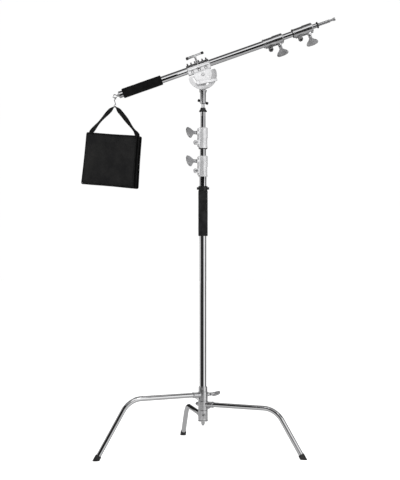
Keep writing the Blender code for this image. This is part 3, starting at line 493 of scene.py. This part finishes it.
for name, replaced, outer, body in (
    ("column_chrome", "column_tube", 0.0175, "base"),
    ("middle_riser_chrome", "middle_riser_tube", 0.0150, "riser_1"),
    ("top_riser_chrome", "top_riser_tube", 0.0125, "riser_2"),
):
    low, high = span(replaced)
    tube(name, AT_COLUMN, low, high, outer, body, replaced)
for name, replaced, outer, body in (
    ("boom_outer_chrome", "boom_outer_tube", 0.0175, "boom"),
    ("boom_middle_chrome", "boom_middle_tube", 0.0150, "boom_2"),
    ("boom_tip_chrome", "boom_tip_tube", 0.0115, "boom_3"),
):
    low, high = boom_span(replaced)
    tube(name, AT_BOOM, low, high, outer, body, replaced)

# Legs: straight out of the socket, one drawn bend, straight down to the boot. Each has its direction in
# degrees, the height of its socket, its reach and its body
LEG_R = 0.0125
SLANT = math.radians(58.2)
BEND_R = 0.115
LEGS = {
    "rear": (102.5, 0.179, 0.502, "base"),
    "right": (334.0, 0.236, 0.542, "right_leg"),
    "left": (207.7, 0.284, 0.582, "left_leg"),
}
for side_name, (azimuth, height, reach, body) in LEGS.items():
    place = AT_COLUMN @ Matrix.Translation((0, 0, height)) @ rotated(azimuth, "Z")
    corner = reach - height / math.tan(SLANT)
    tangent = BEND_R * math.tan(SLANT / 2)
    path = [(0.0270, 0, 0), (0.10, 0, 0), (corner - tangent - 0.01, 0, 0)]
    for k in range(29):
        turn = SLANT * k / 28
        path.append((corner - tangent + BEND_R * math.sin(turn), 0, -BEND_R * (1 - math.cos(turn))))
    down = Vector((math.cos(SLANT), 0, -math.sin(SLANT)))
    end = Vector((reach, 0, -height)) - down * 0.0120
    last = Vector(path[-1])
    path += [last.lerp(end, 0.02), last.lerp(end, 0.5), end]
    bm = swept([place @ Vector(p) for p in path], LEG_R, 48, LEG_R - WALL)
    piece(side_name + "_leg_chrome", bm, CHROME, body, (side_name + "_leg_tube",))


# ---------------------------------------------------------------- foam grips
def grip(name, place, low, high, outer, inner, look, body, replaced):
    """A foam sleeve: softly rounded ends, a shallow hand-worn waviness and small dents."""
    rows = 120
    profile = [(inner, low), (outer - 0.0032, low), (outer - 0.0014, low + 0.0006),
               (outer - 0.0003, low + 0.0022)]
    for k in range(rows + 1):
        z = low + 0.0040 + (high - low - 0.0080) * k / rows
        profile.append((outer, z))
    profile += [(outer - 0.0003, high - 0.0022), (outer - 0.0014, high - 0.0006), (outer - 0.0032, high),
                (inner, high)]
    bm = lathe(profile, Matrix.Identity(4), 72, True)
    for vert in bm.verts:
        radius = math.hypot(vert.co.x, vert.co.y)
        if radius < inner + 0.0008:
            continue
        big = noise.noise(vert.co * 30) * 0.00030
        small = noise.noise(vert.co * 140 + Vector((3, 1, 7))) * 0.00018
        push = (big + small - 0.0003) / radius
        vert.co.x += vert.co.x * push
        vert.co.y += vert.co.y * push
    bm.transform(place)
    made = piece(name, bm, look, body, (replaced,), None, 60)
    return made


# The column's sleeve takes the foam copy whose lighter colour is painted sheen
low, high = span("column_grip")
grip("column_foam_sleeve", AT_COLUMN, low, high, 0.0240, 0.0178, FOAM_COLUMN_PAINTED_SHEEN, "base", "column_grip")
low, high = boom_span("boom_grip")
grip("boom_foam_sleeve", AT_BOOM, low, high, 0.0250, 0.0178, FOAM_BOOM, "boom", "boom_grip")


# ---------------------------------------------------------------- sandbag
def half_width(v):
    """Half the bag's width at a height from -1 at the bottom to 1 at the top."""
    return (BAG_WIDTH[0] + (BAG_WIDTH[1] - BAG_WIDTH[0]) * (1 - v) / 2) / 2


def pouch_shell(front, inset):
    """The pouch before it is filled, in the bag's frame: a flat-sided box with slightly pulled-in sides."""
    bm = bmesh.new()
    cells = 20
    sheets = []
    for outer in (True, False):
        rows = []
        for i in range(cells + 1):
            v = 1 - 2 * i / cells
            row = []
            for j in range(cells + 1):
                u = 2 * j / cells - 1
                pull = 1 - 0.010 * (1 - v * v)
                x = BAG_SHIFT + u * (half_width(v) - inset) * pull
                z = BAG_TOP - BAG_HEIGHT * (1 - v) / 2 - v * inset
                thick = POUCH_EDGE - 0.003 - 0.004 * abs(v) ** 8
                if outer:
                    fall = (1 - u ** 4) * (1 - v ** 4)
                    y = front * (thick + 0.0030 * fall * (1.2 - 0.3 * v))
                else:
                    y = front * 0.0018
                row.append(bm.verts.new((x, y, z)))
            rows.append(row)
        sheets.append(rows)
    for rows in sheets:
        for low_row, high_row in zip(rows, rows[1:]):
            for j in range(cells):
                bm.faces.new((low_row[j], low_row[j + 1], high_row[j + 1], high_row[j]))
    rims = []
    for rows in sheets:
        loop = list(rows[0]) + [row[-1] for row in rows[1:]] + list(reversed(rows[-1][:-1]))
        loop += [row[0] for row in reversed(rows[1:-1])]
        rims.append(loop)
    count = len(rims[0])
    for k in range(count):
        after = (k + 1) % count
        bm.faces.new((rims[0][k], rims[0][after], rims[1][after], rims[1][k]))
    bmesh.ops.recalc_face_normals(bm, faces=bm.faces)
    return bm


def inflate(made, voxel, pressure, cap, pinned):
    """Fills a fabric shell by a short cloth simulation, then keeps only the settled mesh."""
    remesh = made.modifiers.new("even_mesh", "REMESH")
    remesh.mode = "VOXEL"
    remesh.voxel_size = voxel
    graph = bpy.context.evaluated_depsgraph_get()
    mesh = bpy.data.meshes.new_from_object(made.evaluated_get(graph))
    made.modifiers.clear()
    made.data = mesh
    count = len(mesh.vertices)
    rest = np.empty(count * 3)
    mesh.vertices.foreach_get("co", rest)
    rest = rest.reshape(-1, 3)
    group = made.vertex_groups.new(name="seams")
    for index, point in enumerate(rest):
        hold = pinned(point)
        if hold > 0:
            group.add([index], hold, "REPLACE")
    cloth = made.modifiers.new("fill", "CLOTH")
    settings = cloth.settings
    settings.quality = 5
    settings.mass = 0.3
    settings.tension_stiffness = 15
    settings.compression_stiffness = 15
    settings.shear_stiffness = 5
    settings.bending_stiffness = 0.3
    settings.use_pressure = True
    settings.uniform_pressure_force = pressure
    settings.effector_weights.gravity = 0
    settings.vertex_group_mass = "seams"
    cloth.point_cache.frame_start = 1
    cloth.point_cache.frame_end = 20
    for step in range(1, 21):
        bpy.context.scene.frame_set(step)
    graph = bpy.context.evaluated_depsgraph_get()
    settled = bpy.data.meshes.new_from_object(made.evaluated_get(graph))
    made.modifiers.clear()
    made.vertex_groups.clear()
    bpy.context.scene.frame_set(1)
    moved = np.empty(count * 3)
    settled.vertices.foreach_get("co", moved)
    step = moved.reshape(-1, 3) - rest
    far = np.linalg.norm(step, axis=1, keepdims=True)
    step *= np.minimum(1, cap / np.maximum(far, 1e-9))
    rest = rest + step
    return rest


def seam_pull(x, z):
    """How near a point of the bag's face is to the sewn edge, from 0 in the panel to 1 on the seam."""
    v = 1 + 2 * (z - BAG_TOP) / BAG_HEIGHT
    v = max(-1.0, min(1.0, v))
    aside = half_width(v) - abs(x - BAG_SHIFT)
    ends = min(BAG_TOP - z, z - (BAG_TOP - BAG_HEIGHT))
    near = min(aside, ends)
    return max(0.0, 1 - near / 0.010)


def on_seam(point):
    """Holds the cloth along its outer and inner seams."""
    depth = abs(point[1])
    near_edge = seam_pull(point[0], point[2]) > 0.55
    return 1.0 if near_edge and (depth > POUCH_EDGE - 0.012 or depth < 0.006) else 0.0


def wrinkle(point):
    """Soft creases of a sand-filled panel: long ones that hang from the handle's corners, and small ones."""
    x, y, z = point
    drop = (BAG_TOP - z) / BAG_HEIGHT
    aim = noise.noise(Vector((x * 22 + z * 5, y * 6, z * 7 + 4.1))) * 0.0012
    fine = noise.noise(Vector((x * 60, y * 30 + 9, z * 48))) * 0.00045
    sag = math.sin(math.pi * min(1, max(0, drop))) * 0.0006
    return aim * (0.6 + drop * 0.6) + fine + sag


for name, front, replaced in (("front_pouch", -1, "bag_front_pouch"), ("rear_pouch", 1, "bag_rear_pouch")):
    made = piece(name, pouch_shell(front, 0.0022), [FABRIC, GUSSET_PAINTED_SHADE], "bag", (replaced,),
                 BAG_PLACE)
    settled = inflate(made, voxel=0.0048, pressure=4.0, cap=0.0085, pinned=on_seam)
    mesh = made.data
    mesh.vertices.foreach_set("co", settled.ravel())
    mesh.update()
    normals = np.empty(len(mesh.vertices) * 3)
    mesh.vertices.foreach_get("normal", normals)
    normals = normals.reshape(-1, 3)
    for index in range(len(settled)):
        x, y, z = settled[index]
        hold = 1 - seam_pull(x, z)
        settled[index] += normals[index] * (wrinkle(settled[index]) * (0.25 + 0.75 * hold))
        settled[index][1] = front * min(POUCH_BULGE, max(0.0006, front * settled[index][1]))
    mesh.vertices.foreach_set("co", settled.ravel())
    mesh.update()
    mesh.materials.clear()
    mesh.materials.append(FABRIC)
    mesh.materials.append(GUSSET_PAINTED_SHADE)
    # Painted shade: faces that turn sideways, up or down get the darker copy of the nylon
    for face in mesh.polygons:
        shaded_side_on = abs(face.normal.x) > 0.62 or abs(face.normal.z) > 0.62
        face.material_index = 1 if shaded_side_on else 0
    mesh.polygons.foreach_set("use_smooth", [True] * len(mesh.polygons))
    detail = made.modifiers.new("detail", "SUBSURF")
    detail.levels = detail.render_levels = 1


def ribbon(centres, across, normals, half, thick):
    """A flat woven tape with rounded edges. U is across it and V along it, in metres."""
    bm = bmesh.new()
    layer = bm.loops.layers.uv.new("UVMap")
    section = []
    for k in range(5):
        t = -1 + 2 * k / 4
        section.append((t, 1.0 if abs(t) < 0.9 else 0.45))
    ring = section + [(t, -h) for t, h in reversed(section)]
    rows = []
    length = [0.0]
    for k, centre in enumerate(centres):
        if k:
            length.append(length[-1] + (centre - centres[k - 1]).length)
        width = half[k] if isinstance(half, (list, tuple)) else half
        rows.append([bm.verts.new(centre + across[k] * (t * width) + normals[k] * (h * thick / 2))
                     for t, h in ring])
    count = len(ring)
    for k in range(len(rows) - 1):
        width = half[k] if isinstance(half, (list, tuple)) else half
        for s in range(count):
            after = (s + 1) % count
            face = bm.faces.new((rows[k][s], rows[k][after], rows[k + 1][after], rows[k + 1][s]))
            for loop, (r, c) in zip(face.loops, ((s, k), (after, k), (after, k + 1), (s, k + 1))):
                loop[layer].uv = (ring[r][0] * width, length[c])
    bm.faces.new(rows[0])
    bm.faces.new(rows[-1])
    return bm


def outline(front, depth, steps=28, inset=0.0):
    """Points round the bag's face at a depth, clockwise from the top left corner, corners rounded."""
    corners = []
    for u, v in ((-1, 1), (1, 1), (1, -1), (-1, -1)):
        x = BAG_SHIFT + u * (half_width(v) - inset)
        z = BAG_TOP - BAG_HEIGHT * (1 - v) / 2 - v * inset
        corners.append(Vector((x, front * depth, z)))
    points = []
    for k in range(4):
        a, b, c = corners[k - 1], corners[k], corners[(k + 1) % 4]
        into = b + (a - b).normalized() * BAG_CORNER
        out = b + (c - b).normalized() * BAG_CORNER
        for t in (0.0, 0.25, 0.5, 0.75, 1.0):
            points.append(into.lerp(b, t).lerp(b.lerp(out, t), t))
        far = c + (b - c).normalized() * BAG_CORNER
        for s in range(1, steps):
            t = s / steps
            p = out.lerp(far, t)
            bow = math.sin(math.pi * t) * 0.0013
            p += ((corners[0] + corners[2]) / 2 - p).normalized() * bow
            points.append(p)
    return points


def piping(name, front, depth, radius, inset):
    """A bound edge round the bag's face."""
    path = outline(front, depth, 28, inset)
    return piece(name, swept(path, radius, 10, None, True), TAPE, "bag", (), BAG_PLACE, 60)


def stitches(name, front, depth, inset):
    """Lockstitches just inside the binding, each a short raised thread."""
    path = outline(front, depth, 28, inset)
    path.append(path[0])
    bm = bmesh.new()
    travelled = 0.0
    due = 0.0
    for a, b in zip(path, path[1:]):
        step = (b - a).length
        while step > 1e-6 and due <= travelled + step:
            at = a.lerp(b, (due - travelled) / step)
            direction = (b - a).normalized()
            side = Vector((0, 1, 0)).cross(direction)
            tips = [at - direction * 0.0019, at + direction * 0.0019]
            ring = [at + side * 0.00045, at + Vector((0, front * 0.00055, 0)), at - side * 0.00045,
                    at - Vector((0, front * 0.0006, 0))]
            verts = [bm.verts.new(p) for p in ring]
            ends = [bm.verts.new(p) for p in tips]
            for k in range(4):
                bm.faces.new((verts[k], verts[(k + 1) % 4], ends[0]))
                bm.faces.new((verts[(k + 1) % 4], verts[k], ends[1]))
            due += STITCH_PITCH
        travelled += step
    return piece(name, bm, THREAD, "bag", (), BAG_PLACE, 80)


for label, front in (("front", -1), ("rear", 1)):
    piping(label + "_outer_binding", front, POUCH_EDGE - 0.0032, 0.0026, 0.0034)
    piping(label + "_inner_binding", front, 0.0030, 0.0020, 0.0030)
    stitches(label + "_seam_stitches", front, POUCH_EDGE + 0.0004, 0.0085)


def smooth_step(t, low, high):
    """Eases from 0 at low to 1 at high."""
    t = max(0.0, min(1.0, (t - low) / (high - low)))
    return t * t * (3 - 2 * t)


def handle(name, side, replaced):
    """One half of the webbing handle: bunched on the hook, twisted, then sewn in between the pouches."""
    lean = BAG_LEAN.to_3x3()
    corner = lean @ Vector((BAG_SHIFT + side * (BAG_WIDTH[0] / 2 - 0.0125), 0, BAG_TOP + 0.0030))
    apex = Vector((side * 0.0004, 0, 0.0046))
    stations = 60
    points = []
    for k in range(stations + 1):
        t = k / stations
        point = apex.lerp(corner, t)
        point.z += 0.0060 * math.sin(math.pi * t ** 0.8)
        points.append(point)
    down = lean @ Vector((0, 0, -1))
    for k in range(1, 7):
        points.append(points[stations] + down * (0.002 * k))
    centres, acrosses, normals, halves = [], [], [], []
    last = len(points) - 1
    for k, centre in enumerate(points):
        t = min(1.0, k / stations)
        direction = (points[min(k + 1, last)] - points[max(k - 1, 0)]).normalized()
        flat = Vector((0, 1, 0)).cross(direction).normalized()
        # The twist in radians: it opens below the hook and comes back flat at the seam
        if side < 0:
            turn = 0.25 + 0.42 * smooth_step(t, 0.25, 0.60) - 0.62 * smooth_step(t, 0.66, 0.98)
        else:
            turn = 0.20 + 0.60 * smooth_step(t, 0.45, 0.80) - 0.75 * smooth_step(t, 0.84, 1.0)
        across = flat * math.cos(turn) + Vector((0, 1, 0)) * math.sin(turn)
        if k > stations:
            across = lean @ Vector((side, 0, 0))
            across *= 1 if across.dot(acrosses[-1]) > 0 else -1
        across = (across - direction * across.dot(direction)).normalized()
        half = 0.0020 + 0.0105 * smooth_step(t, 0.0, 0.20)
        centres.append(centre)
        acrosses.append(across)
        normals.append(direction.cross(across).normalized())
        halves.append(half)
    bm = ribbon(centres, acrosses, normals, halves, 0.0021)
    place = Matrix.Translation(HOOK_LOW) @ BAG_TURN
    return piece(name, bm, WEBBING, "bag", (replaced,), place, 60)


handle("handle_left", -1, "bag_strap_left")
handle("handle_right", 1, "bag_strap_right")


# ---------------------------------------------------------------- small fittings
AT_TILT = Matrix.Translation(PIVOT) @ Matrix.Rotation(-math.atan2(BOOM_U.z, BOOM_U.x), 4, "Y")
AT_CAP_HANDLE = AT_TILT @ Matrix.Translation((-0.0092, -0.0325, 0)) @ rotated(-14, "Z")
AT_SOCKET_HANDLE = (Matrix.Translation(joints["socket_handle_turn"]["pos_m"])
                    @ rotated(90, "Z") @ rotated(-71, "X"))
QUARTER = rotated(90, "Y")


def end_cap(name, place, inner, outer, body):
    """A dipped plastic cap on the end of a bar. The place is at the bar's end, with Z outwards."""
    profile = [(inner, -0.0095), (outer - 0.0004, -0.0095), (outer, -0.0088), (outer + 0.0003, 0.0)]
    for k in range(1, 9):
        angle = math.pi / 2 * k / 8
        profile.append((max(0.0, (outer + 0.0003) * math.cos(angle)), 0.0035 * math.sin(angle)))
    profile += [(0, 0.0003), (inner, 0.0003)]
    piece(name, lathe(profile, place, 32), PLASTIC, body)


end_cap("cap_handle_tip_near", AT_CAP_HANDLE @ Matrix.Translation((-0.0445, 0, 0.0998)) @ QUARTER.inverted(),
        0.0065, 0.0074, "cap_handle")
end_cap("cap_handle_tip_far", AT_CAP_HANDLE @ Matrix.Translation((0.0445, 0, 0.0998)) @ QUARTER,
        0.0051, 0.0066, "cap_handle")
end_cap("socket_handle_tip_low", AT_SOCKET_HANDLE @ Matrix.Translation((0.0400, 0, -0.0250))
        @ rotated(180, "X"), 0.0056, 0.0068, "socket_handle")
end_cap("socket_handle_tip_high", AT_SOCKET_HANDLE @ Matrix.Translation((0.0400, 0, 0.0250)), 0.0056, 0.0068,
        "socket_handle")


def washer(name, place, low, high, inner, outer, body):
    """A black ring with eased edges at the mouth of a collar."""
    profile = [(inner, low), (outer - 0.0006, low), (outer, low + 0.0006), (outer, high - 0.0002),
               (inner, high - 0.0002)]
    piece(name, lathe(profile, place, 64, True), PLASTIC, body)


collar_low = span("upper_collar")[0]
washer("upper_collar_ring", AT_COLUMN, collar_low - 0.0035, collar_low, RING_IN, RING_OUT, "riser_1")
collar_low = boom_span("boom_inner_collar")[0]
washer("inner_collar_ring", AT_BOOM, collar_low - 0.0030, collar_low, RING_IN, RING_OUT, "boom_2")


# ---------------------------------------------------------------- studio
DARK = (0.012, 0.012, 0.012)
WHITE = (1, 1, 1)
CARD_R = 1.6
FLOOR_GLOW = 0.42
FOAM_LEVEL = 1.270


def card(name, rows, colour, strength=0.0):
    """A studio flag or card that is seen only in reflections: a strip through pairs of points."""
    bm = bmesh.new()
    pairs = [(bm.verts.new(a), bm.verts.new(b)) for a, b in rows]
    for a, b in zip(pairs, pairs[1:]):
        bm.faces.new((a[0], b[0], b[1], a[1]))
    mesh = bpy.data.meshes.new(name)
    bm.to_mesh(mesh)
    bm.free()
    made = bpy.data.objects.new(name, mesh)
    bpy.context.scene.collection.objects.link(made)
    look, _, shader = start(name + "_look", (0, 0, 0) if strength else colour, 1.0)
    shader.inputs["Specular IOR Level"].default_value = 0
    shader.inputs["Emission Color"].default_value = (*colour, 1)
    shader.inputs["Emission Strength"].default_value = strength
    mesh.materials.append(look)
    for kind in ("camera", "diffuse", "transmission", "volume_scatter", "shadow"):
        setattr(made, "visible_" + kind, False)


def ring_card(name, first, last, ends, colour, strength):
    """A card bent round the column between two (radius, height) ends. Angles are degrees from straight in
    front, positive to the right."""
    steps = 12
    rows = []
    for k in range(steps + 1):
        angle = math.radians(first + (last - first) * k / steps)
        rows.append([(COLUMN.x + r * math.sin(angle), COLUMN.y - r * math.cos(angle), z) for r, z in ends])
    card(name, rows, colour, strength)


def curved_flag(name, first, last, radius, low, high, colour, strength=0.0):
    """An upright card on a circle round the column."""
    ring_card(name, first, last, ((radius, low), (radius, high)), colour, strength)


def shelf(name, height, near, far, first, last, colour, strength=0.0):
    """A level card that fills a sector of a ring."""
    ring_card(name, first, last, ((far, height), (near, height)), colour, strength)


def boom_card(name, first, second, colour, strength=0.0, reach=(-0.75, 1.05)):
    """A long card beside the boom, between two (ahead, above) edges measured from the boom's axis."""
    rows = []
    for s in reach:
        rows.append([BOOM_FOOT + BOOM_U * s + BOOM_N * above + Vector((0, -ahead, 0))
                     for ahead, above in (first, second)])
    card(name, rows, colour, strength)


def level(name, x, near, far, height, strength):
    """A white level card that reaches x to both sides, between two places in y."""
    rows = [((edge, near, height), (edge, far, height)) for edge in (-x, x)]
    card(name, rows, WHITE, strength)


curved_flag("flag_left", -76, 5, CARD_R, 0.05, 1.85, DARK)
curved_flag("card_grey", 5, 33, CARD_R, 0.02, 1.90, WHITE, 0.36)
curved_flag("card_right", 33, 71, CARD_R, 0.02, 1.90, WHITE, 1.0)
curved_flag("flag_right", 72, 112, CARD_R, 0.05, 1.85, (0.05, 0.05, 0.05))
curved_flag("flag_back", 184, 206, CARD_R, 0.05, 1.85, DARK)

for label, way in (("front", 1), ("back", -1)):
    boom_card("boom_flag_" + label, (way * 0.55, -0.70), (way * 0.55, 0.105), DARK)
    boom_card("boom_white_" + label, (way * 0.55, 0.105), (way * 0.55, 0.50), WHITE, 1.0)
    boom_card("boom_grey_" + label, (way * 0.55, 0.50), (way * 0.17, 0.60), WHITE, 0.20)
boom_card("boom_dark_top", (0.17, 0.60), (-0.17, 0.60), DARK)

# Level with the column's foam, so the chrome above and below never mirrors them. The dark undersides show in
# the legs, and the tops glow as the floor does for what is above
shelf("ceiling_right", FOAM_LEVEL, 0.50, CARD_R, 46, 88, DARK)
shelf("ceiling_left", FOAM_LEVEL, 0.50, CARD_R, -88, -46, DARK)
shelf("ceiling_right_top", FOAM_LEVEL + 0.004, 0.50, CARD_R, 46, 88, WHITE, FLOOR_GLOW)
shelf("ceiling_left_top", FOAM_LEVEL + 0.004, 0.50, CARD_R, -88, -46, WHITE, FLOOR_GLOW)
curved_flag("riser_card", 7, 92, 0.30, 1.44, 1.83, WHITE, 0.50)
shelf("riser_card_lid", 1.834, 0.04, 0.32, 0, 95, WHITE, FLOOR_GLOW)
boom_card("head_card", (0.42, -0.12), (0.42, 0.16), WHITE, 1.0, (-0.11, 0.07))

level("reflected_floor", 20, -20, 20, -0.002, FLOOR_GLOW)
level("low_card_front", 0.9, -1.05, -0.45, 0.004, 0.75)

floor_look, _, floor_shader = start("studio_floor", (0.86, 0.86, 0.86), 0.75)
floor_shader.inputs["Specular IOR Level"].default_value = 0.1
floor_shader.inputs["Emission Color"].default_value = (1, 1, 1, 1)
floor_shader.inputs["Emission Strength"].default_value = 0.72
floor_mesh = bpy.data.meshes.new("floor")
floor_mesh.from_pydata([(-30, -30, 0), (30, -30, 0), (30, 30, 0), (-30, 30, 0)], [], [(0, 1, 2, 3)])
floor_mesh.materials.append(floor_look)
floor = bpy.data.objects.new("floor", floor_mesh)
bpy.context.scene.collection.objects.link(floor)
floor.location.z = -0.0002
floor.visible_glossy = False

world = bpy.data.worlds.new("studio")
bpy.context.scene.world = world
world.use_nodes = True
world.node_tree.nodes["Background"].inputs["Color"].default_value = (1, 1, 1, 1)
world.node_tree.nodes["Background"].inputs["Strength"].default_value = 0.58

dome_mesh = bpy.data.meshes.new("backdrop")
dome = bmesh.new()
bmesh.ops.create_icosphere(dome, subdivisions=3, radius=24)
dome.to_mesh(dome_mesh)
dome.free()
dome_look, _, dome_shader = start("backdrop_white", (0, 0, 0), 1.0)
dome_shader.inputs["Emission Color"].default_value = (1, 1, 1, 1)
dome_shader.inputs["Emission Strength"].default_value = 1.0
dome_mesh.materials.append(dome_look)
backdrop = bpy.data.objects.new("backdrop", dome_mesh)
bpy.context.scene.collection.objects.link(backdrop)
for kind in ("diffuse", "glossy", "transmission", "volume_scatter", "shadow"):
    setattr(backdrop, "visible_" + kind, False)


def soft_light(name, place, aim, size, power):
    data = bpy.data.lights.new(name, "AREA")
    data.shape = "RECTANGLE"
    data.size, data.size_y = size
    data.energy = power
    made = bpy.data.objects.new(name, data)
    bpy.context.scene.collection.objects.link(made)
    made.location = place
    made.rotation_euler = (Vector(aim) - Vector(place)).to_track_quat("-Z", "Y").to_euler()
    return made


soft_light("key", (2.2, -3.2, 3.6), (0, 0, 1.0), (2.4, 2.4), 60)
soft_light("fill", (-2.6, -2.4, 3.0), (0, 0, 1.0), (2.0, 2.0), 25)

# Six metres off and level, as the photo's almost flat view asks for
CAMERA_AWAY = 6
CAMERA_HEIGHT = 1.068
camera_data = bpy.data.cameras.new("camera")
camera_data.lens = 89.4
camera_data.sensor_width = 36
camera_data.shift_x = -0.00625
camera = bpy.data.objects.new("camera", camera_data)
bpy.context.scene.collection.objects.link(camera)
camera.location = (COLUMN.x, COLUMN.y - CAMERA_AWAY, CAMERA_HEIGHT)
camera.rotation_euler = (math.radians(90 - 0.06), 0, 0)
bpy.context.scene.camera = camera
bpy.context.scene.view_settings.view_transform = "Standard"
